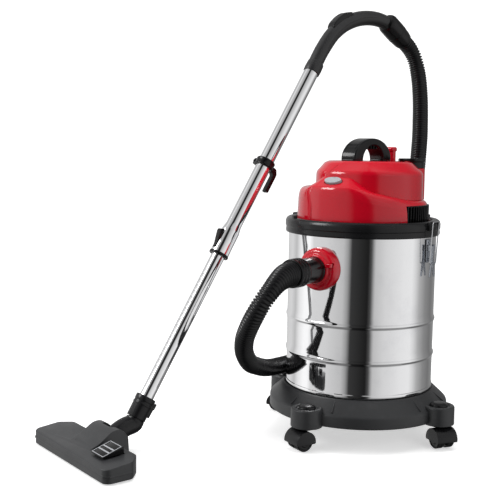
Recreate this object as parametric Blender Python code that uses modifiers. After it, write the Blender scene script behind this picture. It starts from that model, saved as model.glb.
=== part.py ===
"""Wet and dry shop vacuum: steel drum on a castor dolly, lift-off motor head, flexible hose, wand and floor head.

Metres, +Z up, floor at z = 0. The front of the machine (inlet and switch) looks towards -Y. The origin is the
middle of the footprint of everything but the hose. Run: blender --background --python part.py
"""

import math

import bmesh
import bpy
from mathutils import Euler, Matrix, Vector

# ---------------------------------------------------------------- driving dimensions
DRUM_AXIS = Vector((0.1051, 0.1531, 0.0))  # where the drum stands, from the middle of the footprint
DRUM_RADIUS = 0.165
DRUM_FOOT = 0.108
DRUM_TOP = 0.460
BEAD_HEIGHTS = (0.265, 0.187)
RIM_RADIUS = 0.1747
HEAD_RADIUS = 0.147
SHOULDER_HEIGHT = 0.5555
HEAD_TOP = 0.612
HANDLE_LENGTH = 0.156
HANDLE_WIDTH = 0.036
DOLLY_RADIUS = 0.201
CASTOR_CIRCLE = 0.205
WHEEL_RADIUS = 0.020
CASTOR_TRAIL = 0.016
INLET_HEIGHT = 0.384
INLET_RADIUS = 0.046
CUFF_RADIUS = 0.027
HOSE_RADIUS = 0.0198
WAND_YAW = math.radians(-14.0)
WAND_PITCH = math.radians(57.7)
WAND_FOOT = Vector((-0.2676, -0.4200, 0.105))
WAND_LENGTH = 0.837
WAND_RADIUS = 0.0175
SLEEVE_LOW, SLEEVE_HIGH = 0.354, 0.424
FLOOR_HEAD_HALF = 0.158
GAP = 0.0004
HOSE_SEAT = 0.0022  # room between a cuff and the slightly turned end of the hose

SIDES = 28  # segments round a large turned piece
MIDDLE = 16  # round a hand-sized one
SMALL = 10  # round a small one

# The hose, from the grip cuff over the back of the drum to the inlet cuff, about the drum's axis.
HOSE_ROUTE = (
    (-0.0840, 0.3168, 0.9089), (-0.0790, 0.3360, 0.8950), (-0.0720, 0.3500, 0.8730), (-0.0640, 0.3550, 0.8430),
    (-0.0540, 0.3500, 0.8050), (-0.0430, 0.3380, 0.7580), (-0.0330, 0.3220, 0.7140), (-0.0220, 0.3020, 0.6710),
    (-0.0110, 0.2770, 0.6230), (0.0000, 0.2500, 0.5650), (0.0100, 0.2300, 0.5000), (0.0180, 0.2190, 0.4300),
    (0.0200, 0.2120, 0.3600), (0.0150, 0.2070, 0.2930), (0.0010, 0.2040, 0.2310), (-0.0270, 0.1990, 0.1770),
    (-0.0720, 0.1830, 0.1380), (-0.1190, 0.1510, 0.1200), (-0.1560, 0.1110, 0.1165), (-0.1810, 0.0600, 0.1170),
    (-0.1915, 0.0120, 0.1190), (-0.1840, -0.0500, 0.1240), (-0.1650, -0.1090, 0.1330), (-0.1430, -0.1670, 0.1460),
    (-0.1240, -0.2220, 0.1630), (-0.1050, -0.2720, 0.1830), (-0.0830, -0.3180, 0.2170), (-0.0590, -0.3480, 0.2510),
    (-0.0360, -0.3650, 0.2800), (-0.0150, -0.3720, 0.3100), (-0.0010, -0.3660, 0.3370), (0.0060, -0.3500, 0.3580),
    (0.0060, -0.3270, 0.3730), (0.0030, -0.3000, 0.3815), (0.0000, -0.2742, 0.3840),
)

SIDE_ON = Matrix(((0, 0, 1), (1, 0, 0), (0, 1, 0))).to_4x4()  # outline x to Y, y to Z and thickness along X
UP_WAND = Matrix(((0, 0, -1), (0, 1, 0), (1, 0, 0))).to_4x4()  # outline x up the wand and y outward

collection = None
cutters = None
materials = {}

RED = ((0.62, 0.012, 0.025), 0.0, 0.25)
STEEL = ((0.75, 0.75, 0.76), 1.0, 0.12)
CHROME = ((0.80, 0.80, 0.81), 1.0, 0.07)
ZINC = ((0.62, 0.64, 0.68), 1.0, 0.3)
DARK_GREY = ((0.045, 0.045, 0.050), 0.0, 0.45)
BLACK = ((0.012, 0.012, 0.013), 0.0, 0.35)
RUBBER = ((0.015, 0.015, 0.015), 0.0, 0.8)
SILVER = ((0.55, 0.55, 0.56), 0.3, 0.35)
PAPER = ((0.75, 0.72, 0.64), 0.0, 0.9)
COPPER = ((0.30, 0.30, 0.31), 1.0, 0.5)
WHITE = ((0.75, 0.75, 0.72), 0.0, 0.5)


# ---------------------------------------------------------------- helpers
def start():
    """Empties the scene and makes the two collections."""
    global collection, cutters
    for obj in list(bpy.data.objects):
        bpy.data.objects.remove(obj, do_unlink=True)
    collection = bpy.data.collections.new("shop_vacuum")
    cutters = bpy.data.collections.new("cutters")
    for group in (collection, cutters):
        bpy.context.scene.collection.children.link(group)


def own_material(obj, look):
    """Gives the object a Principled material of its own."""
    colour, metallic, roughness = look
    mat = bpy.data.materials.new(obj.name)
    mat.use_nodes = True
    shader = mat.node_tree.nodes["Principled BSDF"]
    shader.inputs["Base Color"].default_value = (*colour, 1.0)
    shader.inputs["Metallic"].default_value = metallic
    shader.inputs["Roughness"].default_value = roughness
    obj.data.materials.clear()
    obj.data.materials.append(mat)


def finish(obj, look):
    """Puts a finished piece in the object's collection with its material."""
    for group in list(obj.users_collection):
        group.objects.unlink(obj)
    collection.objects.link(obj)
    own_material(obj, look)
    return obj


def tool(obj):
    """Makes an object a cutter or a joined half, which is left out of the model."""
    for group in list(obj.users_collection):
        group.objects.unlink(obj)
    cutters.objects.link(obj)
    obj.hide_render = True
    obj.display_type = "WIRE"
    return obj


def combine(obj, other, operation="DIFFERENCE"):
    """Cuts the other object out of obj, joins it on, or keeps what they share."""
    mod = obj.modifiers.new(operation.title(), "BOOLEAN")
    mod.operation = operation
    mod.object = tool(other)
    return obj


def aim(direction):
    """The rotation that turns local +Z to the direction."""
    return Vector(direction).to_track_quat("Z", "Y").to_matrix().to_4x4()


def put(obj, place, turn=None):
    """Places an object by a point and, optionally, a rotation matrix or Euler."""
    if isinstance(turn, Euler):
        turn = turn.to_matrix().to_4x4()
    obj.matrix_world = Matrix.Translation(Vector(place)) @ (turn if turn else Matrix.Identity(4))
    return obj


def about_drum(x, y, z):
    """A point given from the drum's axis."""
    return DRUM_AXIS + Vector((x, y, z))


def new_object(name, mesh):
    obj = bpy.data.objects.new(name, mesh)
    bpy.context.scene.collection.objects.link(obj)
    return obj


def from_bmesh(name, bm):
    mesh = bpy.data.meshes.new(name)
    bm.to_mesh(mesh)
    bm.free()
    return new_object(name, mesh)


def turned(name, profile, steps=SIDES, closed=True):
    """A body turned about local Z from (radius, height) points that run down its outer side."""
    bm = bmesh.new()
    points = [bm.verts.new((radius, 0.0, height)) for radius, height in profile]
    for a, b in zip(points, points[1:]):
        bm.edges.new((a, b))
    if closed:
        bm.edges.new((points[-1], points[0]))
    obj = from_bmesh(name, bm)
    screw = obj.modifiers.new("Screw", "SCREW")
    screw.steps = steps
    screw.render_steps = steps
    screw.use_merge_vertices = True
    screw.merge_threshold = 0.00001
    screw.use_smooth_shade = True
    return obj


def block(name, size, bevel=0.0):
    """A box round its own origin, with bevelled edges where asked."""
    bm = bmesh.new()
    bmesh.ops.create_cube(bm, size=1.0)
    bmesh.ops.scale(bm, vec=Vector(size), verts=bm.verts)
    obj = from_bmesh(name, bm)
    if bevel:
        mod = obj.modifiers.new("Bevel", "BEVEL")
        mod.width = bevel
        mod.segments = 1
    return obj


def rod(name, radius, length, sides=SMALL, radius_top=None):
    """A cylinder or cone about local Z, centred on its origin."""
    bm = bmesh.new()
    top = radius if radius_top is None else radius_top
    bmesh.ops.create_cone(bm, cap_ends=True, segments=sides, radius1=radius, radius2=top, depth=length)
    return from_bmesh(name, bm)


def plate(name, outline, thickness, bevel=0.0):
    """A flat outline in local XY with the given thickness, centred on z = 0, as a mesh."""
    curve = bpy.data.curves.new(name, "CURVE")
    curve.dimensions = "2D"
    curve.fill_mode = "BOTH"
    curve.extrude = thickness / 2
    spline = curve.splines.new("POLY")
    spline.points.add(len(outline) - 1)
    for point, (x, y) in zip(spline.points, outline):
        point.co = (x, y, 0.0, 1.0)
    spline.use_cyclic_u = True
    obj = as_mesh(new_object(name, curve))
    if bevel:
        mod = obj.modifiers.new("Bevel", "BEVEL")
        mod.width = bevel
        mod.segments = 2
        mod.limit_method = "ANGLE"
    return obj


def wire(name, points, radius, cyclic=False, resolution=2):
    """A round bar through the points."""
    curve = bpy.data.curves.new(name, "CURVE")
    curve.dimensions = "3D"
    curve.bevel_depth = radius
    curve.bevel_resolution = resolution
    curve.use_fill_caps = not cyclic
    spline = curve.splines.new("POLY")
    spline.points.add(len(points) - 1)
    for point, place in zip(spline.points, points):
        point.co = (*place, 1.0)
    spline.use_cyclic_u = cyclic
    return new_object(name, curve)


def as_mesh(obj):
    """Replaces a curve by its evaluated mesh, caps welded, under the same name."""
    graph = bpy.context.evaluated_depsgraph_get()
    mesh = bpy.data.meshes.new_from_object(obj.evaluated_get(graph))
    bm = bmesh.new()
    bm.from_mesh(mesh)
    bmesh.ops.remove_doubles(bm, verts=bm.verts, dist=0.00001)
    bmesh.ops.recalc_face_normals(bm, faces=bm.faces)
    bm.to_mesh(mesh)
    bm.free()
    name, place = obj.name, obj.matrix_world.copy()
    bpy.data.objects.remove(obj, do_unlink=True)
    solid = new_object(name, mesh)
    solid.matrix_world = place
    return solid


def pivot(name, place):
    """An empty on a joint's axis that carries the pieces of a moving body."""
    empty = bpy.data.objects.new(name, None)
    collection.objects.link(empty)
    empty.location = place
    return empty


def carry(parent, *pieces):
    """Parents pieces without moving them."""
    bpy.context.view_layer.update()
    for piece in pieces:
        piece.parent = parent
        piece.matrix_parent_inverse = parent.matrix_world.inverted()


def arc(centre, radius, start_deg, end_deg, count):
    """Points along an arc in a plane."""
    for i in range(count + 1):
        a = math.radians(start_deg + (end_deg - start_deg) * i / count)
        yield (centre[0] + radius * math.cos(a), centre[1] + radius * math.sin(a))


def smooth_path(route, spacing):
    """Points at even spacing along a Catmull-Rom curve through the route."""
    route = [Vector(p) for p in route]
    ends = [route[0] * 2 - route[1]] + route + [route[-1] * 2 - route[-2]]
    dense = []
    for p0, p1, p2, p3 in zip(ends, ends[1:], ends[2:], ends[3:]):
        for i in range(12):
            t = i / 12
            dense.append(0.5 * (2 * p1 + (p2 - p0) * t + (2 * p0 - 5 * p1 + 4 * p2 - p3) * t * t
                                + (3 * p1 - p0 - 3 * p2 + p3) * t * t * t))
    dense.append(route[-1])
    lengths = [0.0]
    for a, b in zip(dense, dense[1:]):
        lengths.append(lengths[-1] + (b - a).length)
    count = round(lengths[-1] / spacing)
    points, k = [], 0
    for i in range(count + 1):
        want = lengths[-1] * i / count
        while k < len(lengths) - 2 and lengths[k + 1] < want:
            k += 1
        share = (want - lengths[k]) / (lengths[k + 1] - lengths[k])
        points.append(dense[k].lerp(dense[k + 1], share))
    return points


# ---------------------------------------------------------------- dolly and castors
def compass(i):
    """Unit vector of side i: 0 front, 1 right, 2 rear, 3 left."""
    return Vector(((0, -1), (1, 0), (0, 1), (-1, 0))[i]).to_3d()


SIDE_NAMES = ("front", "right", "rear", "left")


def build_dolly():
    seat = DRUM_FOOT - GAP
    ring = [(0.125, seat), (0.1665, seat), (0.1700, 0.1060), (0.1960, 0.0830), (DOLLY_RADIUS, 0.0780),
            (DOLLY_RADIUS, 0.0535), (0.1970, 0.0535), (0.1965, 0.0770), (0.1670, 0.1020), (0.125, 0.1020)]
    dolly = finish(put(turned("dolly_base", ring), DRUM_AXIS), DARK_GREY)
    for i in range(4):
        centre = DRUM_AXIS + compass(i) * CASTOR_CIRCLE
        boss = turned("dolly_boss", [(0, 0.0870), (0.0235, 0.0870), (0.0255, 0.0900), (0.0310, 0.0900),
                                     (0.0340, 0.0870), (0.0340, 0.0500), (0, 0.0500)], MIDDLE, closed=False)
        combine(dolly, put(boss, centre, Euler((0, 0, 0.1))), "UNION")
        hole = rod("stem_hole", 0.0062, 0.034, SMALL)
        combine(dolly, put(hole, centre + Vector((0, 0, 0.0495 + 0.0155))))
    return dolly


def build_castor(i, heading_deg):
    """A hooded twin-wheel castor under boss i, trailing in the heading."""
    side = SIDE_NAMES[i]
    stem = DRUM_AXIS + compass(i) * CASTOR_CIRCLE
    heading = math.radians(heading_deg)
    trail = Vector((math.cos(heading), math.sin(heading), 0.0))
    axle = stem + trail * CASTOR_TRAIL + Vector((0, 0, WHEEL_RADIUS))
    across = Vector((-trail.y, trail.x, 0.0))
    frame = Matrix((trail, Vector((0, 0, 1)), across)).transposed().to_4x4()  # local x back, y up, z along the axle

    hood_radius = 0.0245
    outline = list(arc((0, 0), hood_radius, -8, 188, 9))
    hood = plate("castor_hood_" + side, outline, 0.049)
    put(hood, axle, frame)
    for sign in (-1, 1):
        well = rod("wheel_well", 0.0210, 0.0182, MIDDLE)
        combine(hood, put(well, axle + across * sign * 0.0124, frame))
        below = block("well_mouth", (0.0416, 0.020, 0.0182))
        combine(hood, put(below, axle + across * sign * 0.0124 - Vector((0, 0, 0.010)), frame))
    combine(hood, put(rod("axle_hole", 0.0031, 0.012, SMALL), axle, frame))
    neck = turned("castor_neck", [(0, 0.0780), (0.0056, 0.0780), (0.0056, 0.0494), (0.0110, 0.0490),
                                  (0.0120, 0.0440), (0, 0.0380)], SMALL, closed=False)
    combine(hood, put(neck, stem), "UNION")
    finish(hood, DARK_GREY)

    half = [(0, 0.0208), (0.0180, 0.0208), (WHEEL_RADIUS, 0.0190), (WHEEL_RADIUS, 0.0042), (0.0026, 0.0042)]
    profile = half + [(r, -z) for r, z in reversed(half)]
    wheels = finish(put(turned("castor_wheels_" + side, profile, MIDDLE, closed=False), axle, frame), BLACK)
    swivel = pivot("castor_swivel_" + side, stem)
    carry(swivel, hood, wheels)


# ---------------------------------------------------------------- drum and inlet
def build_drum():
    wall = 0.0009
    outer = [(DRUM_RADIUS - 0.0010, DRUM_TOP)]
    for z in BEAD_HEIGHTS:
        outer += [(DRUM_RADIUS, z + 0.0050), (DRUM_RADIUS + 0.0022, z + 0.0015),
                  (DRUM_RADIUS + 0.0022, z - 0.0015), (DRUM_RADIUS, z - 0.0050)]
    outer += [(DRUM_RADIUS, DRUM_FOOT + 0.0040), (DRUM_RADIUS - 0.0030, DRUM_FOOT), (0, DRUM_FOOT)]
    inner = [(0, DRUM_FOOT + wall), (DRUM_RADIUS - 0.0045, DRUM_FOOT + wall),
             (DRUM_RADIUS - wall - 0.0010, DRUM_FOOT + 0.0055), (DRUM_RADIUS - wall - 0.0010, DRUM_TOP)]
    drum = finish(put(turned("drum", outer + inner, SIDES), DRUM_AXIS), STEEL)
    hole = put(rod("inlet_hole", 0.0264, 0.04, MIDDLE), about_drum(0, -0.16, INLET_HEIGHT), aim((0, -1, 0)))
    return combine(drum, hole)


def build_inlet():
    out = aim((0, -1, 0))
    centre = about_drum(0, 0, INLET_HEIGHT)
    bore = CUFF_RADIUS - 0.0010
    flange = turned("inlet_flange", [(bore, 0.1860), (0.0330, 0.1880), (0.0400, 0.1870), (0.0445, 0.1835),
                                     (INLET_RADIUS, 0.1780), (INLET_RADIUS, 0.1540), (bore, 0.1540)], 20)
    put(flange, centre, out)
    combine(flange, put(rod("flange_seat", DRUM_RADIUS + GAP, 0.14, 2 * SIDES), centre))
    pocket = about_drum(0.0365, -0.1850, INLET_HEIGHT + 0.012)
    combine(flange, put(block("tab_pocket", (0.0120, 0.0130, 0.0100)), pocket))
    finish(flange, RED)
    tab = finish(put(block("inlet_release_tab", (0.0108, 0.0090, 0.0088), 0.0012),
                     pocket + Vector((0, -0.0036, 0))), RED)
    carry(pivot("release_tab_slide", pocket), tab)

    spout = turned("inlet_deflector", [(0.0245, 0.1600), (0.0252, 0.1598), (0.0252, 0.1050), (0.0232, 0.1050),
                                       (0.0232, 0.1600)], MIDDLE)
    put(spout, centre, out)
    slant = block("spout_slant", (0.08, 0.05, 0.08))
    combine(spout, put(slant, about_drum(0, -0.1010, INLET_HEIGHT - 0.0230),
                       Euler((math.radians(-35), 0, 0))))
    finish(spout, BLACK)

    inner = 0.0205
    cuff = turned("inlet_cuff", [(inner, 0.2720), (0.0270, 0.2720), (0.0295, 0.2660), (0.0300, 0.2640),
                                 (0.0300, 0.2450), (CUFF_RADIUS, 0.2420), (CUFF_RADIUS, 0.1892), (bore - GAP, 0.1884),
                                 (bore - GAP, 0.1720), (inner, 0.1720)], MIDDLE)
    finish(put(cuff, centre, out), BLACK)
    carry(pivot("cuff_swivel", centre), cuff)


def build_hose():
    path = [DRUM_AXIS + p for p in smooth_path(HOSE_ROUTE, 0.028)]
    return finish(wire("hose", path, HOSE_RADIUS, resolution=2), BLACK)


# ---------------------------------------------------------------- latches
LATCH_PIN = Vector((0.1735, 0.0, 0.4300))
BAIL_PIN = Vector((0.1775, 0.0, 0.3960))
BAIL_TOP = Vector((0.1822, 0.0, 0.4862))


def latch_frame(side):
    """Mirrors points of the right-hand latch to the side, +1 right and -1 left."""
    return Matrix.Rotation(0.0 if side > 0 else math.pi, 4, "Z")


def build_latch(side):
    name = "right" if side > 0 else "left"
    turn = Matrix.Translation(DRUM_AXIS) @ latch_frame(side)
    upright = Euler((math.pi / 2, 0, 0)).to_matrix().to_4x4()  # local z along the latch pin (world Y)

    bracket = block("latch_bracket_" + name, (0.0022, 0.020, 0.050), 0.0005)
    bracket.matrix_world = turn @ Matrix.Translation((0.1668, 0, 0.4230))
    for y in (-0.0088, 0.0088):
        ear = block("bracket_ear", (0.0100, 0.0018, 0.012))
        ear.matrix_world = turn @ Matrix.Translation((0.1722, y, LATCH_PIN.z))
        combine(bracket, ear, "UNION")
    pin = rod("latch_pin", 0.0014, 0.0186, SMALL)
    pin.matrix_world = turn @ Matrix.Translation(LATCH_PIN) @ upright
    combine(bracket, pin, "UNION")
    finish(bracket, ZINC)

    # The lever: a forked blade seen from outside, with a knuckle at each pin.
    outline = [(-0.0065, 0.4344), (-0.0065, 0.404), (-0.0115, 0.372), (-0.0055, 0.372), (0, 0.388),
               (0.0055, 0.372), (0.0115, 0.372), (0.0065, 0.404), (0.0065, 0.4344)]
    lever = plate("latch_lever_" + name, outline, 0.0016)
    lever.matrix_world = turn @ Matrix.Translation((0.1762, 0, 0)) @ SIDE_ON
    knuckle = rod("lever_knuckle", 0.0030, 0.0130, SMALL)
    knuckle.matrix_world = turn @ Matrix.Translation(LATCH_PIN) @ upright
    combine(lever, knuckle, "UNION")
    lug = rod("bail_knuckle", 0.0030, 0.0120, SMALL)
    lug.matrix_world = turn @ Matrix.Translation(BAIL_PIN) @ upright
    combine(lever, lug, "UNION")
    for place, radius in ((LATCH_PIN, 0.0018), (BAIL_PIN, 0.0017)):
        hole = rod("lever_hole", radius, 0.03, SMALL)
        hole.matrix_world = turn @ Matrix.Translation(place) @ upright
        combine(lever, hole)
    finish(lever, ZINC)

    half, corner = 0.0142, 0.0022
    low, high = BAIL_PIN, BAIL_TOP
    rise = (high - low).normalized()
    loop = []
    for y, end, inward in ((-half, low, 1), (-half, high, -1), (half, high, -1), (half, low, 1)):
        across = Vector((0, math.copysign(corner, -y), 0))
        edge, leg = Vector((end.x, y, end.z)) + across, Vector((end.x, y, end.z)) + rise * corner * inward
        loop += [edge, leg] if (y < 0) == (inward > 0) else [leg, edge]
    bail = wire("latch_bail_" + name, loop, 0.0013, cyclic=True, resolution=1)
    bail.matrix_world = turn
    bail = as_mesh(bail)
    finish(bail, ZINC)

    lever_axis = pivot("latch_pivot_" + name, turn @ LATCH_PIN)
    bail_axis = pivot("bail_pivot_" + name, turn @ BAIL_PIN)
    carry(lever_axis, lever, bail_axis)
    carry(bail_axis, bail)


# ---------------------------------------------------------------- motor head
def build_lid():
    under = DRUM_TOP + 0.0040
    ring = [(0.0620, 0.4700), (0.1510, 0.4700), (0.1535, 0.4840), (0.1660, 0.4855), (0.1722, 0.4822),
            (RIM_RADIUS, 0.4760), (0.1738, 0.4560), (0.1722, 0.4520), (0.1668, 0.4520), (0.1662, under),
            (0.0620, under)]
    lid = put(turned("lid_ring", ring, SIDES), DRUM_AXIS)
    catch = [(0.170, 0.4870), (0.1766, 0.4870), (0.1812, 0.4800), (0.1812, 0.4680), (0.170, 0.4680)]
    for side in (1, -1):
        lug = plate("latch_catch", catch, 0.024)
        lug.matrix_world = (Matrix.Translation(DRUM_AXIS) @ latch_frame(side)
                            @ Euler((math.pi / 2, 0, 0)).to_matrix().to_4x4())
        combine(lid, lug, "UNION")
    finish(lid, DARK_GREY)
    gasket = [(0.1585, DRUM_TOP + 0.0037), (0.1655, DRUM_TOP + 0.0037), (0.1655, DRUM_TOP + GAP),
              (0.1585, DRUM_TOP + GAP)]
    return [lid, finish(put(turned("lid_gasket", gasket, SIDES), DRUM_AXIS), RUBBER)]


def build_housing():
    wall = 0.003
    base = 0.4704
    lower = turned("motor_housing", [
        (0.1080, SHOULDER_HEIGHT), (0.1290, SHOULDER_HEIGHT - 0.0010), (0.1385, 0.5510), (0.1435, 0.5430),
        (0.1455, 0.5300), (HEAD_RADIUS, base), (HEAD_RADIUS - wall, base), (0.1424, 0.5290), (0.1404, 0.5415),
        (0.1362, 0.5483), (0.1280, 0.5515), (0.1080, 0.5525)], SIDES)
    put(lower, DRUM_AXIS)
    console = plate("switch_console", [(-0.1400, 0.5440), (-0.1375, 0.5600), (-0.1125, 0.5775), (-0.1100, 0.5775),
                                       (-0.1100, 0.5440)], 0.064)
    combine(lower, put(console, DRUM_AXIS, SIDE_ON), "UNION")
    slope = Euler((math.radians(35), 0, 0)).to_matrix().to_4x4()
    switch_centre = about_drum(0, -0.1252, 0.5690)
    oval = [(0.0225 * math.cos(a), 0.0115 * math.sin(a)) for a in (math.tau * i / 16 for i in range(16))]
    combine(lower, put(plate("switch_pocket", oval, 0.010), switch_centre, slope))
    combine(lower, put(block("vent_window", (0.16, 0.145, 0.040)), about_drum(0.16, 0.025, 0.4990)))
    finish(lower, RED)

    cover = turned("housing_cover", [
        (0, HEAD_TOP), (0.0800, HEAD_TOP), (0.0880, 0.6075), (0.1045, 0.5890), (0.1065, 0.5830),
        (0.1074, 0.5560), (0.1040, 0.5560), (0.1034, 0.5820), (0.1018, 0.5875), (0.0865, 0.6045),
        (0.0800, 0.6090), (0, 0.6090)], SIDES, closed=True)
    finish(put(cover, DRUM_AXIS), RED)

    rocker = plate("power_switch", [(x * 0.90, y * 0.88) for x, y in oval], 0.0070, 0.0010)
    finish(put(rocker, switch_centre + Vector((0, -0.0006, 0.0010)), slope), SILVER)
    carry(pivot("switch_pivot", switch_centre), rocker)

    grille = turned("vent_grille", [(0.1440, 0.5180), (0.1440, 0.4800), (0.1405, 0.4800), (0.1405, 0.5180)], 48)
    sector = block("grille_sector", (0.30, 0.144, 0.2))
    combine(put(grille, DRUM_AXIS), put(sector, about_drum(0.15, 0.025, 0.5)), "INTERSECT")
    for i in range(7):
        angle = math.radians(-14 + 8 * i)
        slot = block("grille_slot", (0.02, 0.0080, 0.030))
        combine(grille, put(slot, about_drum(0.142 * math.cos(angle), 0.142 * math.sin(angle), 0.4990),
                            Euler((0, 0, angle))))
    finish(grille, BLACK)
    return [lower, cover, grille]


def build_head_fittings():
    half, leg = HANDLE_LENGTH / 2, 0.030
    top = HEAD_TOP + 0.0004
    outer = list(arc((0, top + 0.004), 1.0, 180, 0, 14))
    outline = [(-half, top)] + [(x * half, top + 0.004 + (y - top - 0.004) * 0.046) for x, y in outer] + [(half, top)]
    inner = list(arc((0, top), 1.0, 0, 180, 12))
    outline += [(x * (half - leg), top + (y - top) * 0.034) for x, y in inner]
    handle = put(plate("carry_handle", outline, HANDLE_WIDTH, 0.003), DRUM_AXIS, SIDE_ON)
    finish(handle, BLACK)

    tower = turned("blower_port", [(0.0230, 0.5965), (0.0310, 0.5965), (0.0340, 0.5930), (0.0345, 0.5562),
                                   (0.0230, 0.5562)], MIDDLE)
    centre = about_drum(0.0650, 0.1130, 0)
    put(tower, centre)
    combine(tower, put(rod("cover_clearance", 0.1079, 0.08, 2 * SIDES), about_drum(0, 0, 0.58)))
    combine(tower, put(rod("lower_clearance", 0.1478, 0.10, 2 * SIDES), about_drum(0, 0, 0.505)))
    finish(tower, RED)
    collar = turned("blower_collar", [(0.0225, 0.6180), (0.0285, 0.6180), (0.0293, 0.6170), (0.0293, 0.5969),
                                      (0.0225, 0.5969)], MIDDLE)
    finish(put(collar, centre), BLACK)

    hook = block("cord_hook", (0.022, 0.022, 0.088), 0.004)
    finish(put(hook, about_drum(0, 0.1198, 0.6000)), RED)
    away = math.radians(215)
    out = Vector((math.sin(away), -math.cos(away), 0))
    gland = turned("cord_gland", [(0.0040, 0.1690), (0.0055, 0.1690), (0.0080, 0.1500), (0.0110, 0.1495),
                                  (0.0110, 0.1475), (0.0040, 0.1475)], SMALL)
    finish(put(gland, about_drum(0, 0, 0.5000), aim(out)), BLACK)
    return [handle, tower, collar, hook, gland]


def build_motor():
    motor = turned("motor", [(0, 0.5900), (0.0300, 0.5900), (0.0460, 0.5850), (0.0480, 0.5120), (0.0750, 0.5100),
                             (0.0750, 0.4704), (0.0725, 0.4704), (0.0725, 0.5060), (0.0045, 0.5060),
                             (0.0045, 0.4760), (0, 0.4760)], MIDDLE)
    finish(put(motor, DRUM_AXIS), COPPER)
    fan = turned("fan", [(0.0049, 0.5020), (0.0120, 0.5010), (0.0690, 0.4990), (0.0690, 0.4970),
                         (0.0120, 0.4970), (0.0120, 0.4800), (0.0049, 0.4790)], MIDDLE)
    put(fan, DRUM_AXIS)
    for i in range(6):
        angle = math.tau * i / 6
        vane = block("fan_vane", (0.0560, 0.0014, 0.0150))
        combine(fan, put(vane, about_drum(0.0395 * math.cos(angle), 0.0395 * math.sin(angle), 0.4900),
                         Euler((0, 0, angle + math.radians(8)))), "UNION")
    finish(fan, SILVER)
    carry(pivot("fan_axis", DRUM_AXIS + Vector((0, 0, 0.49))), fan)

    under = DRUM_TOP + 0.0036
    cage = turned("float_cage", [(0.0300, under), (0.0700, under), (0.0700, under - 0.0030), (0.0500, under - 0.0035),
                                 (0.0480, 0.3500), (0, 0.3480), (0, 0.3505), (0.0455, 0.3525),
                                 (0.0455, under - 0.0040), (0.0300, under - 0.0040)], MIDDLE)
    put(cage, DRUM_AXIS)
    for i in range(4):
        slot = block("cage_slot", (0.12, 0.020, 0.070))
        combine(cage, put(slot, about_drum(0, 0, 0.4050), Euler((0, 0, math.radians(45 * i)))))
    finish(cage, BLACK)
    ball = turned("float_ball", [(0.0200 * math.sin(math.pi * i / 6), 0.3735 + 0.0200 * math.cos(math.pi * i / 6))
                                 for i in range(7)], SMALL, closed=False)
    finish(put(ball, DRUM_AXIS), WHITE)
    carry(pivot("float_slide", DRUM_AXIS + Vector((0, 0, 0.3735))), ball)
    sleeve = turned("filter", [(0.0530, 0.4590), (0.0660, 0.4590), (0.0660, 0.3460), (0.0530, 0.3460)], SIDES)
    finish(put(sleeve, DRUM_AXIS), PAPER)
    return [motor, cage, sleeve]


# ---------------------------------------------------------------- wand, grip and floor head
def wand_matrix():
    """Local z up the wand, x across it and y on its upper side; origin at the wand's lower end."""
    plan = Vector((-math.sin(WAND_YAW), math.cos(WAND_YAW), 0))
    up = plan * math.cos(WAND_PITCH) + Vector((0, 0, math.sin(WAND_PITCH)))
    across = Vector((-plan.y, plan.x, 0))
    over = up.cross(across)
    place = Matrix((across, over, up)).transposed().to_4x4()
    return Matrix.Translation(DRUM_AXIS + WAND_FOOT) @ place


def on_wand(obj, x=0.0, y=0.0, z=0.0, turn=None):
    obj.matrix_world = wand_matrix() @ Matrix.Translation((x, y, z)) @ (turn.to_matrix().to_4x4() if turn
                                                                        else Matrix.Identity(4))
    return obj


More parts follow.
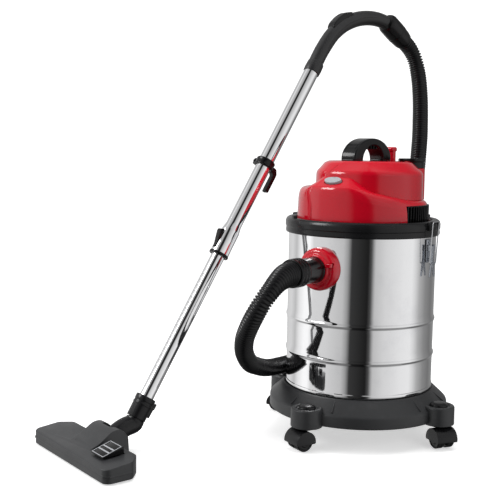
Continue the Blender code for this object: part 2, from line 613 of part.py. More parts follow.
def build_wand():
    bore = 0.0165
    upper = turned("wand_upper", [
        (bore, WAND_LENGTH), (WAND_RADIUS, WAND_LENGTH), (WAND_RADIUS, SLEEVE_HIGH), (0.0205, SLEEVE_HIGH - 0.012),
        (0.0212, SLEEVE_LOW), (0.0168, SLEEVE_LOW), (bore, SLEEVE_LOW + 0.002)], MIDDLE)
    on_wand(upper)
    combine(upper, on_wand(block("button_window", (0.0130, 0.020, 0.044)), 0, 0.024, 0.382))
    finish(upper, CHROME)
    ring = turned("wand_seal_ring", [(0.0166, SLEEVE_LOW - GAP), (0.0222, SLEEVE_LOW - GAP), (0.0222, SLEEVE_LOW - 0.005),
                                     (0.0166, SLEEVE_LOW - 0.005)], MIDDLE)
    finish(on_wand(ring), BLACK)
    button_outline = [(0.0185, -0.020), (0.0300, 0.014), (0.0290, 0.020), (0.0185, 0.020)]
    button = plate("lock_button", [(z, y) for y, z in button_outline], 0.0118, 0.0010)
    button.matrix_world = wand_matrix() @ Matrix.Translation((0, 0, 0.382)) @ UP_WAND
    finish(button, BLACK)
    carry(pivot("lock_button_slide", wand_matrix() @ Vector((0, 0.024, 0.382))), button)

    lower = turned("wand_lower", [(0.0144, 0.470), (0.0155, 0.470), (0.0155, 0.002), (0.0144, 0.002)], MIDDLE)
    on_wand(lower)
    for i in range(6):
        notch = block("ratchet_notch", (0.0070, 0.0020, 0.0060))
        combine(lower, on_wand(notch, 0, 0.0159, 0.090 + 0.040 * i))
    finish(lower, CHROME)

    clip = turned("wand_clip", [(WAND_RADIUS + GAP, 0.0085), (0.0215, 0.0085), (0.0225, 0.0060), (0.0225, -0.0060),
                                (0.0215, -0.0085), (WAND_RADIUS + GAP, -0.0085)], MIDDLE)
    on_wand(clip, 0, 0, 0.587)
    hook = [(-0.0210, 0.004), (-0.0330, 0.004), (-0.0400, -0.008), (-0.0400, -0.052), (-0.0310, -0.052),
            (-0.0310, -0.010), (-0.0210, -0.006)]
    arm = plate("clip_hook", [(z, y) for y, z in hook], 0.012, 0.0015)
    arm.matrix_world = wand_matrix() @ Matrix.Translation((0, 0, 0.587)) @ UP_WAND
    combine(clip, arm, "UNION")
    combine(clip, on_wand(block("clip_ear", (0.010, 0.012, 0.014), 0.001), -0.0200, 0.012, 0.587), "UNION")
    combine(clip, on_wand(rod("clip_bore", WAND_RADIUS + GAP, 0.10, 2 * MIDDLE), 0, 0, 0.587))
    finish(clip, BLACK)


GRIP_ROUTE = (  # distance along the wand's plan direction past its top, height
    (0.0000, 0.8130), (0.0175, 0.8425), (0.0345, 0.8690), (0.0610, 0.9020), (0.0870, 0.9235), (0.1120, 0.9375),
    (0.1420, 0.9485), (0.1730, 0.9546), (0.2050, 0.9560), (0.2330, 0.9525), (0.2560, 0.9455),
)


def grip_point(distance, height, across=0.0):
    plan = Vector((-math.sin(WAND_YAW), math.cos(WAND_YAW), 0))
    top = DRUM_AXIS + WAND_FOOT + plan * math.cos(WAND_PITCH) * WAND_LENGTH
    side = Vector((plan.y, -plan.x, 0))
    return top + plan * distance + side * across + Vector((0, 0, height - top.z))


def build_grip():
    centre_line = smooth_path([grip_point(*p) for p in GRIP_ROUTE], 0.016)
    grip = as_mesh(wire("bent_grip", centre_line, 0.0172, resolution=3))
    base = rod("grip_trim", 0.03, 0.08, MIDDLE)
    base.matrix_world = wand_matrix() @ Matrix.Translation((0, 0, WAND_LENGTH + GAP - 0.04))
    combine(grip, base)
    spigot = turned("grip_spigot", [(0, WAND_LENGTH + 0.006), (0.0158, WAND_LENGTH + 0.006),
                                    (0.0158, WAND_LENGTH - 0.045), (0, WAND_LENGTH - 0.045)], MIDDLE, closed=False)
    combine(grip, on_wand(spigot), "UNION")
    finish(grip, DARK_GREY)

    # relief slider: a low saddle on the outside of the bend
    seat = grip_point(0.0975, 0.9295)
    along = (grip_point(0.1200, 0.9410) - grip_point(0.0760, 0.9150)).normalized()
    across = Vector((math.cos(WAND_YAW), math.sin(WAND_YAW), 0))
    normal = across.cross(along)
    frame = Matrix((along, normal, across)).transposed().to_4x4()
    shape = [(-0.036, 0.0155), (-0.026, 0.0220), (-0.004, 0.0262), (0.016, 0.0262), (0.034, 0.0190), (0.034, 0.0100),
             (-0.036, 0.0100)]
    slider = plate("suction_slider", shape, 0.022, 0.0015)
    put(slider, seat, frame)
    clearance = wire("grip_clearance", centre_line, 0.0186, resolution=3)
    combine(slider, as_mesh(clearance))
    finish(slider, BLACK)
    carry(pivot("relief_slide", seat), slider)

    end = grip_point(*GRIP_ROUTE[-1])
    hose_start = DRUM_AXIS + Vector(HOSE_ROUTE[0])
    direction = (hose_start - end).normalized()
    length = (hose_start - end).length - HOSE_SEAT
    cuff = turned("grip_cuff", [(0, length), (0.0215, length), (0.0245, 0.0480), (0.0255, 0.0400),
                                (0.0255, -0.0080), (0.0215, -0.0150), (0, -0.0150)], MIDDLE, closed=False)
    put(cuff, end, aim(direction))
    trim = as_mesh(wire("cuff_clearance", centre_line, 0.0177, resolution=3))
    combine(cuff, trim)
    finish(cuff, BLACK)


def head_matrix():
    """Local y back along the wand's plan direction, z up, origin on the floor under the wand's lower end."""
    return (Matrix.Translation(DRUM_AXIS + Vector((WAND_FOOT.x, WAND_FOOT.y, 0)))
            @ Matrix.Rotation(WAND_YAW, 4, "Z"))


def on_head(obj, x=0.0, y=0.0, z=0.0, turn=None):
    obj.matrix_world = head_matrix() @ Matrix.Translation((x, y, z)) @ (turn if turn else Matrix.Identity(4))
    return obj


TILT_PIN = Vector((0.0, -0.0890, 0.0330))


def build_floor_head():
    w = FLOOR_HEAD_HALF
    outline = [(-w + 0.010, -0.1840), (w - 0.010, -0.1840), (w, -0.1740), (w, -0.1240), (w - 0.026, -0.1000),
               (-w + 0.026, -0.1000), (-w, -0.1240), (-w, -0.1740)]
    shell = on_head(plate("floor_head_shell", outline, 0.036, 0.003), 0, 0, 0.0245)
    slope = block("shell_slope", (0.4, 0.16, 0.03))
    combine(shell, on_head(slope, 0, -0.1460, 0.0500, Euler((math.radians(6.0), 0, 0)).to_matrix().to_4x4()))
    hump = [(-0.1580, 0.0250), (-0.1580, 0.0320), (-0.1300, 0.0440), (-0.1060, 0.0610), (-0.0900, 0.0640),
            (-0.0760, 0.0580), (-0.0660, 0.0440), (-0.0640, 0.0120), (-0.1000, 0.0120)]
    combine(shell, on_head(plate("hump", hump, 0.082, 0.003), 0, 0, 0, SIDE_ON), "UNION")
    hollow = block("shell_hollow", (2 * w - 0.012, 0.066, 0.020))
    combine(shell, on_head(hollow, 0, -0.1440, 0.0120))
    combine(shell, on_head(rod("barrel_seat", 0.0215, 0.0640, 20), TILT_PIN.x, TILT_PIN.y, TILT_PIN.z,
                           Matrix.Rotation(math.pi / 2, 4, "Y")))
    passage = block("neck_passage", (0.0400, 0.066, 0.090))
    combine(shell, on_head(passage, 0, TILT_PIN.y + 0.028, 0.0560))
    combine(shell, on_head(block("air_passage", (0.0300, 0.040, 0.016)), 0, -0.1080, 0.0140))
    pocket = block("pedal_pocket", (0.0500, 0.0520, 0.012))
    combine(shell, on_head(pocket, 0.0860, -0.1390, 0.0400))
    finish(shell, DARK_GREY)

    sole = block("sole_plate", (2 * w - 0.0128, 0.0650, 0.0036))
    on_head(sole, 0, -0.1440, 0.0042)
    mouth = block("suction_mouth", (0.190, 0.0130, 0.012))
    combine(sole, on_head(mouth, 0, -0.1500, 0.0040))
    for y in (-0.1715, -0.1270):
        combine(sole, on_head(block("brush_slot", (0.268, 0.0058, 0.012)), 0, y, 0.0040))
    for x in (-0.1440, 0.1440):
        combine(sole, on_head(block("roller_slot", (0.0110, 0.0200, 0.012)), x, -0.1440, 0.0040))
    finish(sole, ZINC)
    for name, y in (("brush_front", -0.1715), ("brush_rear", -0.1270)):
        brush = finish(on_head(block(name, (0.262, 0.0046, 0.0110)), 0, y, 0.0098), BLACK)
        carry(pivot(name + "_slide", head_matrix() @ Vector((0, y, 0.0098))), brush)
    for name, x in (("roller_left", -0.1440), ("roller_right", 0.1440)):
        roller = turned(name, [(0, 0.0046), (0.0070, 0.0046), (0.0080, 0.0036), (0.0080, -0.0036),
                               (0.0070, -0.0046), (0, -0.0046)], 12, closed=False)
        finish(on_head(roller, x, -0.1440, 0.0082, Matrix.Rotation(math.pi / 2, 4, "Y")), BLACK)
        carry(pivot(name + "_axle", head_matrix() @ Vector((x, -0.1440, 0.0082))), roller)

    pedal = plate("pedal", [(-0.1630, 0.0375), (-0.1630, 0.0395), (-0.1170, 0.0535), (-0.1150, 0.0525),
                            (-0.1150, 0.0375), (-0.1380, 0.0375)], 0.0460, 0.0008)
    finish(on_head(pedal, 0.0860, 0, 0, SIDE_ON), BLACK)
    carry(pivot("pedal_pivot", head_matrix() @ Vector((0.0860, -0.1390, 0.0420))), pedal)

    barrel = rod("floor_head_elbow", 0.0208, 0.0620, 20)
    on_head(barrel, TILT_PIN.x, TILT_PIN.y, TILT_PIN.z, Matrix.Rotation(math.pi / 2, 4, "Y"))
    foot = wand_matrix() @ Vector((0, 0, -0.0500))
    pin = head_matrix() @ TILT_PIN
    line = smooth_path([pin, pin.lerp(foot, 0.55) + Vector((0, 0, 0.001)), foot - wand_matrix().to_3x3()
                        @ Vector((0, 0, 0.008)), foot], 0.010)
    neck = as_mesh(wire("elbow_neck", line, 0.0178, resolution=3))
    combine(barrel, neck, "UNION")
    spigot = turned("elbow_spigot", [(0, -0.0220), (0.0156, -0.0220), (0.0156, -0.0560), (0, -0.0560)], MIDDLE,
                    closed=False)
    combine(barrel, on_wand(spigot), "UNION")
    finish(barrel, DARK_GREY)
    socket = turned("wand_socket", [(0.0160, 0.004), (0.0212, 0.004), (0.0218, 0.000), (0.0208, -0.0450),
                                    (0.0160, -0.0452)], MIDDLE)
    finish(on_wand(socket), DARK_GREY)
    hook = plate("parking_hook", [(-0.002, -0.0222), (0.000, -0.0290), (-0.012, -0.0290), (-0.016, -0.0265),
                                  (-0.034, -0.0265), (-0.034, -0.0222)], 0.014, 0.001)
    hook.matrix_world = wand_matrix() @ UP_WAND
    finish(hook, BLACK)


def main():
    start()
    build_dolly()
    for i, heading in enumerate((250, 330, 110, 200)):
        build_castor(i, heading)
    build_drum()
    build_inlet()
    build_latch(1)
    build_latch(-1)
    head = pivot("motor_head", DRUM_AXIS)
    lift_off = build_lid() + build_housing() + build_head_fittings() + build_motor()
    carry(head, *lift_off)
    build_wand()
    build_grip()
    build_floor_head()
    build_hose()


main()
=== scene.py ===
"""Looks of a wet and dry shop vacuum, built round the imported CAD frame.

Metres, +Z up. Each sub-assembly is a class with its sizes as fields, each finish a frozen dataclass.
"""

import logging
import math
from dataclasses import dataclass
from enum import Enum
from typing import Sequence

import bmesh
import bpy
from mathutils import Matrix, Vector


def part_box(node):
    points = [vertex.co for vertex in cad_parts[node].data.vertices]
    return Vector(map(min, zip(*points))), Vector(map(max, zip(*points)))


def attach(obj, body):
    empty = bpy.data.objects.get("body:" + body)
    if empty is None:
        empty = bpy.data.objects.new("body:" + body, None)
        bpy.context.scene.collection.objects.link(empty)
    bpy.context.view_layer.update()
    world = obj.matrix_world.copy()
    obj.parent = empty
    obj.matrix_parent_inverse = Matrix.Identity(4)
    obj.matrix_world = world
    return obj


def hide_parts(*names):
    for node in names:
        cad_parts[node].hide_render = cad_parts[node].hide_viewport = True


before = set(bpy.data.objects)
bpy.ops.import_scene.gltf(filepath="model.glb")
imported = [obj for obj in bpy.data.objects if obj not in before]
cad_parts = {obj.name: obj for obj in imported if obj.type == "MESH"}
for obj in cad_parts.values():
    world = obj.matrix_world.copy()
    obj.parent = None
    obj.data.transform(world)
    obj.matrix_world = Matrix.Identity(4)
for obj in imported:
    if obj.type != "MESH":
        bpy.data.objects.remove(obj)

logging.basicConfig(level=logging.INFO, format="%(message)s")
log = logging.getLogger("shop_vacuum")

Point = tuple[float, float]
Object = bpy.types.Object

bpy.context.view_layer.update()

_low, _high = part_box("drum")
DRUM_AXIS = Vector((round((_low.x + _high.x) / 2, 4), round((_low.y + _high.y) / 2, 4), 0.0))
DRUM_TOP = 0.460
DRUM_RADIUS = 0.165
HEAD_TOP = 0.612
INLET_HEIGHT = 0.384
WAND_YAW = math.radians(-14.0)
WAND_PITCH = math.radians(57.7)
WAND_FOOT = DRUM_AXIS + Vector((-0.2676, -0.4200, 0.105))
WAND_LENGTH = 0.837
SIDE_ON = Matrix(((0, 0, 1), (1, 0, 0), (0, 1, 0))).to_4x4()
UP_WAND = Matrix(((0, 0, -1), (0, 1, 0), (1, 0, 0))).to_4x4()
LYING = Matrix.Rotation(math.pi / 2, 4, "Y")
UPRIGHT = Matrix.Rotation(math.pi / 2, 4, "X")


class Axis(Enum):
    """The direction in which a metal was drawn or ground."""

    ROUND_DRUM = "round the drum"
    ALONG_WAND = "along the wand"
    NONE = "no direction"


class Side(Enum):
    """A side of the machine, with its sign along X."""

    LEFT = -1
    RIGHT = 1


# ---------------------------------------------------------------- places
def aim(direction: Sequence[float]) -> Matrix:
    """Gives the turn that brings local +Z to a direction.

    Args:
        direction: where local +Z shall point.

    Returns:
        A rotation as a 4x4 matrix.
    """
    return Vector(direction).to_track_quat("Z", "Y").to_matrix().to_4x4()


def at(place: Sequence[float], turn: Matrix | None = None) -> Matrix:
    """Gives the matrix of a place and a turn.

    Args:
        place: the point, in metres.
        turn: a rotation, or nothing for none.

    Returns:
        The translation times the rotation.
    """
    return Matrix.Translation(Vector(place)) @ (turn or Matrix.Identity(4))


def about_drum(x: float, y: float, z: float) -> Vector:
    """Gives a point from its distances to the drum's axis."""
    return DRUM_AXIS + Vector((x, y, z))


def plan_direction() -> Vector:
    """Gives the wand's direction seen from above."""
    return Vector((-math.sin(WAND_YAW), math.cos(WAND_YAW), 0.0))


def wand_frame() -> Matrix:
    """Gives the frame of the wand: z up the tube, y on its upper side, origin at its lower end."""
    plan = plan_direction()
    up = plan * math.cos(WAND_PITCH) + Vector((0, 0, math.sin(WAND_PITCH)))
    across = Vector((-plan.y, plan.x, 0))
    return at(WAND_FOOT, Matrix((across, up.cross(across), up)).transposed().to_4x4())


def head_frame() -> Matrix:
    """Gives the frame of the floor head: y towards the machine, z up, origin below the wand's end."""
    return at((WAND_FOOT.x, WAND_FOOT.y, 0), Matrix.Rotation(WAND_YAW, 4, "Z"))


def arc(centre: Point, radius: float, start_deg: float, end_deg: float, steps: int) -> list[Point]:
    """Gives points along an arc.

    Args:
        centre: the arc's centre.
        radius: its radius.
        start_deg: where it starts, in degrees.
        end_deg: where it ends.
        steps: how many stretches it has.

    Returns:
        The points, both ends among them.
    """
    angles = (math.radians(start_deg + (end_deg - start_deg) * i / steps) for i in range(steps + 1))
    return [(centre[0] + radius * math.cos(a), centre[1] + radius * math.sin(a)) for a in angles]


def rounded(points: Sequence[Point], radius: float, steps: int = 3, closed: bool = False) -> list[Point]:
    """Rounds the corners of an outline.

    Args:
        points: the outline's corners.
        radius: the most that a corner is rounded by.
        steps: the stretches of each round.
        closed: whether the last point joins the first.

    Returns:
        The outline with an arc at each corner.
    """
    count = len(points)
    made: list[Point] = []
    for i, point in enumerate(points):
        if not closed and i in (0, count - 1):
            made.append(point)
            continue
        here = Vector(point)
        before, after = Vector(points[i - 1]) - here, Vector(points[(i + 1) % count]) - here
        reach = min(radius, before.length * 0.45, after.length * 0.45)
        a, b = here + before.normalized() * reach, here + after.normalized() * reach
        for k in range(steps + 1):
            t = k / steps
            made.append(tuple(a * (1 - t) ** 2 + here * 2 * t * (1 - t) + b * t * t))
    return made


def smooth_path(route: Sequence[Sequence[float]], spacing: float) -> list[Vector]:
    """Gives evenly spaced points along a smooth curve through a route.

    Args:
        route: the points that the curve passes through.
        spacing: the distance between the points wanted.

    Returns:
        The points, both ends among them.
    """
    route = [Vector(p) for p in route]
    ends = [route[0] * 2 - route[1], *route, route[-1] * 2 - route[-2]]
    dense = []
    for p0, p1, p2, p3 in zip(ends, ends[1:], ends[2:], ends[3:]):
        for i in range(12):
            t = i / 12
            dense.append(0.5 * (2 * p1 + (p2 - p0) * t + (2 * p0 - 5 * p1 + 4 * p2 - p3) * t * t
                                + (3 * p1 - p0 - 3 * p2 + p3) * t * t * t))
    dense.append(route[-1])
    lengths = [0.0]
    for a, b in zip(dense, dense[1:]):
        lengths.append(lengths[-1] + (b - a).length)
    count = round(lengths[-1] / spacing)
    points, k = [], 0
    for i in range(count + 1):
        want = lengths[-1] * i / count
        while k < len(lengths) - 2 and lengths[k + 1] < want:
            k += 1
        points.append(dense[k].lerp(dense[k + 1], (want - lengths[k]) / (lengths[k + 1] - lengths[k])))
    return points


def path_length(points: Sequence[Vector]) -> float:
    """Gives the length of a line through points."""
    return sum((b - a).length for a, b in zip(points, points[1:]))


# ---------------------------------------------------------------- shader maths
class Wire:
    """One shader socket, whose arithmetic adds Math nodes."""

    def __init__(self, graph: "Graph", socket: bpy.types.NodeSocket) -> None:
        """Keeps the socket and the graph that it is in."""
        self.graph, self.socket = graph, socket

    def _maths(self, operation: str, a: "Wire | float", b: "Wire | float") -> "Wire":
        """Adds a Math node of two values."""
        return self.graph.node("ShaderNodeMath", {"operation": operation}, {0: a, 1: b})

    def __add__(self, other: "Wire | float") -> "Wire":
        """Adds."""
        return self._maths("ADD", self, other)

    __radd__ = __add__

    def __mul__(self, other: "Wire | float") -> "Wire":
        """Multiplies."""
        return self._maths("MULTIPLY", self, other)

    __rmul__ = __mul__

    def __sub__(self, other: "Wire | float") -> "Wire":
        """Subtracts."""
        return self._maths("SUBTRACT", self, other)

    def __rsub__(self, other: float) -> "Wire":
        """Subtracts from a number."""
        return self._maths("SUBTRACT", other, self)

    def __truediv__(self, other: "Wire | float") -> "Wire":
        """Divides."""
        return self._maths("DIVIDE", self, other)

    def __pow__(self, other: "Wire | float") -> "Wire":
        """Raises to a power."""
        return self._maths("POWER", self, other)

    def sine(self) -> "Wire":
        """Takes the sine."""
        return self._maths("SINE", self, 0.0)

    def between(self, low: float, high: float, new_low: float = 0.0, new_high: float = 1.0) -> "Wire":
        """Maps a range of values smoothly onto another.

        Args:
            low: the value that becomes new_low.
            high: the value that becomes new_high.
            new_low: the lowest result.
            new_high: the highest result.

        Returns:
            The mapped value, clamped.
        """
        return self.graph.node("ShaderNodeMapRange", {"interpolation_type": "SMOOTHSTEP"},
                               {0: self, 1: low, 2: high, 3: new_low, 4: new_high})


class Graph:
    """The node tree of one material."""

    def __init__(self, name: str) -> None:
        """Makes an empty material with a Principled shader."""
        self.material = bpy.data.materials.new(name)
        self.material.use_nodes = True
        self.tree = self.material.node_tree
        self.shader = self.tree.nodes["Principled BSDF"]

    def node(self, kind: str, settings: dict, inputs: dict, output: int | str = 0) -> Wire:
        """Adds a node.

        Args:
            kind: the node's type.
            settings: its properties, and a ramp's stops under "stops".
            inputs: values or wires for its sockets, by name or number.
            output: the socket that is wanted.

        Returns:
            The output as a wire.
        """
        made = self.tree.nodes.new(kind)
        for key, value in settings.items():
            if key == "stops":
                elements = made.color_ramp.elements
                while len(elements) < len(value):
                    elements.new(0.5)
                for element, (position, colour) in zip(elements, value):
                    element.position, element.color = position, (*colour, 1.0)
            else:
                setattr(made, key, value)
        for key, value in inputs.items():
            self.plug(made.inputs[key], value)
        return Wire(self, made.outputs[output])

    def plug(self, socket: bpy.types.NodeSocket, value: object) -> None:
        """Links a wire to a socket, or sets the socket's value."""
        if isinstance(value, Wire):
            self.tree.links.new(value.socket, socket)
        else:
            socket.default_value = value

    def feed(self, **values: object) -> None:
        """Feeds the shader's sockets, named with underscores for spaces."""
        for name, value in values.items():
            self.plug(self.shader.inputs[name.replace("_", " ")], value)

    def place(self, scale: Sequence[float] = (1, 1, 1), turn: Sequence[float] = (0, 0, 0),
              shift: Sequence[float] = (0, 0, 0)) -> Wire:
        """Gives the object coordinates, moved, turned and scaled.

        Args:
            scale: factor along each axis, after the turn.
            turn: rotation angles in radians.
            shift: how far the pattern is moved.

        Returns:
            The coordinates as a wire.
        """
        plain = self.node("ShaderNodeTexCoord", {}, {}, "Object")
        return self.node("ShaderNodeMapping", {}, {"Vector": plain, "Location": shift, "Rotation": turn,
                                                   "Scale": scale})

    def noise(self, where: Wire, scale: float, detail: float = 2.0, roughness: float = 0.5) -> Wire:
        """Gives a noise value over a place."""
        return self.node("ShaderNodeTexNoise", {}, {"Vector": where, "Scale": scale, "Detail": detail,
                                                    "Roughness": roughness}, "Fac")

    def blend(self, factor: "Wire | float", a: Sequence[float], b: Sequence[float]) -> Wire:
        """Mixes two colours by a factor."""
        return self.node("ShaderNodeMix", {"data_type": "RGBA"},
                         {"Factor": factor, 6: self._colour(a), 7: self._colour(b)}, 2)

    @staticmethod
    def _colour(value: object) -> object:
        """Gives a colour its alpha."""
        return value if isinstance(value, Wire) else (*value, 1.0)

    def bump(self, height: Wire, distance: float, strength: float = 1.0, onto: Wire | None = None) -> Wire:
        """Gives the normal of a height pattern, laid over another one where given."""
        inputs = {"Height": height, "Distance": distance, "Strength": strength}
        if onto:
            inputs["Normal"] = onto
        return self.node("ShaderNodeBump", {}, inputs)


# ---------------------------------------------------------------- finishes
@dataclass(frozen=True)
class MouldedPlastic:
    """Moulded plastic: tone and gloss wander a little, with a fine spark-eroded grain."""

    name: str
    slot: str
    colour: tuple[float, float, float]
    worn: tuple[float, float, float]
    roughness: float
    grain: float = 0.00006
    grain_scale: float = 1400.0
    coat: float = 0.0
    swell: float = 0.0
    shine: float = 0.5

    def make(self) -> bpy.types.Material:
        """Builds the material."""
        g = Graph(self.name)
        where = g.place()
        broad, fine = g.noise(where, 9.0, 4.0, 0.6), g.noise(where, self.grain_scale, 2.0)
        scuffs = g.noise(g.place((60, 60, 900)), 1.0, 3.0).between(0.60, 0.74)
        rubbed = g.noise(where, 22.0, 6.0, 0.7).between(0.50, 0.72) * 0.5 + scuffs * 0.25
        pores = g.bump(fine, self.grain, 1.0)
        normal = g.bump(g.noise(where, 30.0, 1.0), self.swell, 1.0, pores) if self.swell else pores
        g.feed(Base_Color=g.blend(rubbed, self.colour, self.worn),
               Roughness=broad.between(0.3, 0.7, self.roughness * 0.85, self.roughness * 1.12) + scuffs * 0.05,
               Normal=normal, Coat_Weight=self.coat, Coat_Roughness=0.06, Specular_IOR_Level=self.shine)
        return g.material


@dataclass(frozen=True)
class DrawnMetal:
    """Polished or ground metal: fine lines in its working direction, finger marks and a faint tint."""

    name: str
    slot: str
    colour: tuple[float, float, float]
    stained: tuple[float, float, float]
    roughness: float
    lines: Axis
    line_height: float = 0.000004
    line_gloss: float = 0.05

    def _line_place(self, g: Graph) -> Wire:
        """Gives coordinates squeezed so that a noise becomes lines."""
        if self.lines is Axis.ROUND_DRUM:
            return g.place((3, 3, 1500))
        if self.lines is Axis.ALONG_WAND:
            turned = wand_frame().to_3x3().inverted().to_euler()
            return g.place((700, 700, 4), tuple(turned))
        return g.place((260, 260, 260))

    def make(self) -> bpy.types.Material:
        """Builds the material."""
        g = Graph(self.name)
        where = g.place()
        lines = g.noise(self._line_place(g), 1.0, 3.0, 0.6)
        marks = g.noise(where, 14.0, 5.0, 0.65).between(0.48, 0.75)
        g.feed(Metallic=1.0, Base_Color=g.blend(marks * 0.6, self.colour, self.stained),
               Roughness=lines.between(0.3, 0.7, 0.0, self.line_gloss) + marks * 0.05 + self.roughness,
               Normal=g.bump(lines, self.line_height))
        return g.material


@dataclass(frozen=True)
class Rubber:
    """Matt rubber or brush fibre with a dusty bloom."""

    name: str
    slot: str
    colour: tuple[float, float, float]
    dust: tuple[float, float, float]

    def make(self) -> bpy.types.Material:
        """Builds the material."""
        g = Graph(self.name)
        where = g.place()
        bloom = g.noise(where, 40.0, 6.0, 0.7).between(0.45, 0.75)
        g.feed(Base_Color=g.blend(bloom * 0.5, self.colour, self.dust), Roughness=0.62 + bloom * 0.2,
               Normal=g.bump(g.noise(where, 700.0, 3.0), 0.00015))
        return g.material


@dataclass(frozen=True)
class PleatedPaper:
    """Folded filter paper: fine upright pleats round the drum's axis, with painted shade: each pleat's valley is
    tinted towards the darker shade colour.
    """

    name: str
    slot: str
    colour: tuple[float, float, float]
    shade: tuple[float, float, float]

    def make(self) -> bpy.types.Material:
        """Builds the material."""
        g = Graph(self.name)
        where = g.place()
        split = g.tree.nodes.new("ShaderNodeSeparateXYZ")
        g.plug(split.inputs[0], where)
        across = Wire(g, split.outputs[0]) - DRUM_AXIS.x
        depth = Wire(g, split.outputs[1]) - DRUM_AXIS.y
        angle = g.node("ShaderNodeMath", {"operation": "ARCTAN2"}, {0: depth, 1: across})
        fold = (angle * 90.0).sine()
        # painted shade: each fold's valley takes the darker shade colour and each crest the paper's own colour
        g.feed(Base_Color=g.blend(fold.between(-1, 1), self.shade, self.colour), Roughness=0.9,
               Normal=g.bump(fold, 0.001))
        return g.material


RED = (0.600, 0.003, 0.017)
FINISHES = {f.name: f for f in (
    MouldedPlastic("glossy_red", "head_red", RED, (0.53, 0.004, 0.018), 0.14, 0.000012, 900.0, 0.35, 0.00022,
                   0.40),
    MouldedPlastic("graphite_grain", "dark_grey_plastic", (0.034, 0.035, 0.037), (0.052, 0.053, 0.055), 0.40,
                   0.00010, 1100.0, 0.0),
    MouldedPlastic("grip_satin", "dark_grey_plastic", (0.020, 0.020, 0.021), (0.030, 0.030, 0.031), 0.36, 0.00003,
                   1400.0, 0.0),
    MouldedPlastic("rim_black", "dark_grey_plastic", (0.009, 0.009, 0.010), (0.017, 0.017, 0.018), 0.27, 0.00004,
                   1200.0, 0.05, 0.0, 0.30),
    MouldedPlastic("black_satin", "black_plastic", (0.0050, 0.0050, 0.0055), (0.011, 0.011, 0.012), 0.20,
                   0.00003, 1300.0, 0.10, 0.0, 0.26),
    MouldedPlastic("hose_black", "hose_black", (0.005, 0.005, 0.006), (0.015, 0.015, 0.016), 0.30, 0.00003, 900.0,
                   0.0, 0.0, 0.35),
    MouldedPlastic("silver_paint", "silver_plastic", (0.40, 0.41, 0.43), (0.33, 0.34, 0.36), 0.26, 0.00002, 1800.0,
                   0.3),
    MouldedPlastic("float_white", "float_white", (0.72, 0.72, 0.69), (0.6, 0.6, 0.56), 0.5),
    DrawnMetal("drum_steel", "drum_steel", (0.94, 0.94, 0.95), (0.85, 0.85, 0.87), 0.024, Axis.ROUND_DRUM,
               0.0000015, 0.035),
    DrawnMetal("tube_chrome", "tube_chrome", (0.94, 0.94, 0.95), (0.86, 0.86, 0.88), 0.035, Axis.ALONG_WAND,
               0.000002, 0.03),
    DrawnMetal("latch_zinc", "latch_zinc", (0.56, 0.59, 0.64), (0.44, 0.46, 0.50), 0.24, Axis.NONE, 0.00001, 0.08),
    DrawnMetal("bright_wire", "latch_zinc", (0.80, 0.81, 0.83), (0.66, 0.68, 0.70), 0.10, Axis.NONE, 0.000004, 0.05),
    DrawnMetal("motor_iron", "motor_metal", (0.30, 0.30, 0.31), (0.22, 0.21, 0.20), 0.45, Axis.NONE, 0.00002, 0.1),
    Rubber("black_rubber", "black_rubber", (0.014, 0.014, 0.014), (0.035, 0.034, 0.032)),
    PleatedPaper("filter_paper", "filter_paper", (0.74, 0.70, 0.60), (0.60, 0.56, 0.47)),
)}


class Shelf:
    """The finishes, each made into a material once."""

    def __init__(self) -> None:
        """Starts with nothing made."""
        self.made: dict[str, bpy.types.Material] = {}

    def take(self, name: str) -> bpy.types.Material:
        """Gives the material of a finish."""
        if name not in self.made:
            self.made[name] = FINISHES[name].make()
        return self.made[name]


SHELF = Shelf()


# ---------------------------------------------------------------- bench
def deselect() -> None:
    """Deselects every object."""
    bpy.ops.object.select_all(action="DESELECT")


def pick(*objects: Object) -> Object:
    """Selects objects, and makes the first one active.

    Args:
        objects: what to select.

    Returns:
        The active object.
    """
    deselect()
    for obj in objects:
        obj.select_set(True)
    bpy.context.view_layer.objects.active = objects[0]
    return objects[0]


def edit(mode: str = "VERT") -> None:
    """Goes to edit mode with everything selected."""
    bpy.ops.object.mode_set(mode="EDIT")
    bpy.ops.mesh.select_mode(type=mode)
    bpy.ops.mesh.select_all(action="SELECT")


def leave() -> None:
    """Goes back to object mode."""
    bpy.ops.object.mode_set(mode="OBJECT")


def tidy_shell() -> None:
    """In edit mode, merges doubles and turns the faces outwards."""
    bpy.ops.mesh.select_all(action="SELECT")
    bpy.ops.mesh.remove_doubles(threshold=0.000004)
    bpy.ops.mesh.normals_make_consistent(inside=False)


def drawn_line(name: str, points: Sequence[Sequence[float]]) -> Object:
    """Draws a line from point to point by extruding one vertex, and stays in edit mode.

    Args:
        name: the object's name.
        points: the line's points.

    Returns:
        The object, in edit mode with its last vertex selected.
    """
    deselect()
    bpy.ops.mesh.primitive_plane_add(size=0.001)
    obj = bpy.context.object
    obj.name = obj.data.name = name
    edit()
    bpy.ops.mesh.merge(type="CENTER")
    bpy.ops.transform.translate(value=Vector(points[0]))
    for a, b in zip(points, points[1:]):
        bpy.ops.mesh.extrude_region_move(TRANSFORM_OT_translate={"value": Vector(b) - Vector(a)})
    return obj


def settle(obj: Object, place: Matrix) -> Object:
    """Puts an object in its place and brings the place into its mesh."""
    pick(obj)
    obj.matrix_world = place
    bpy.ops.object.transform_apply(location=True, rotation=True, scale=True)
    return obj


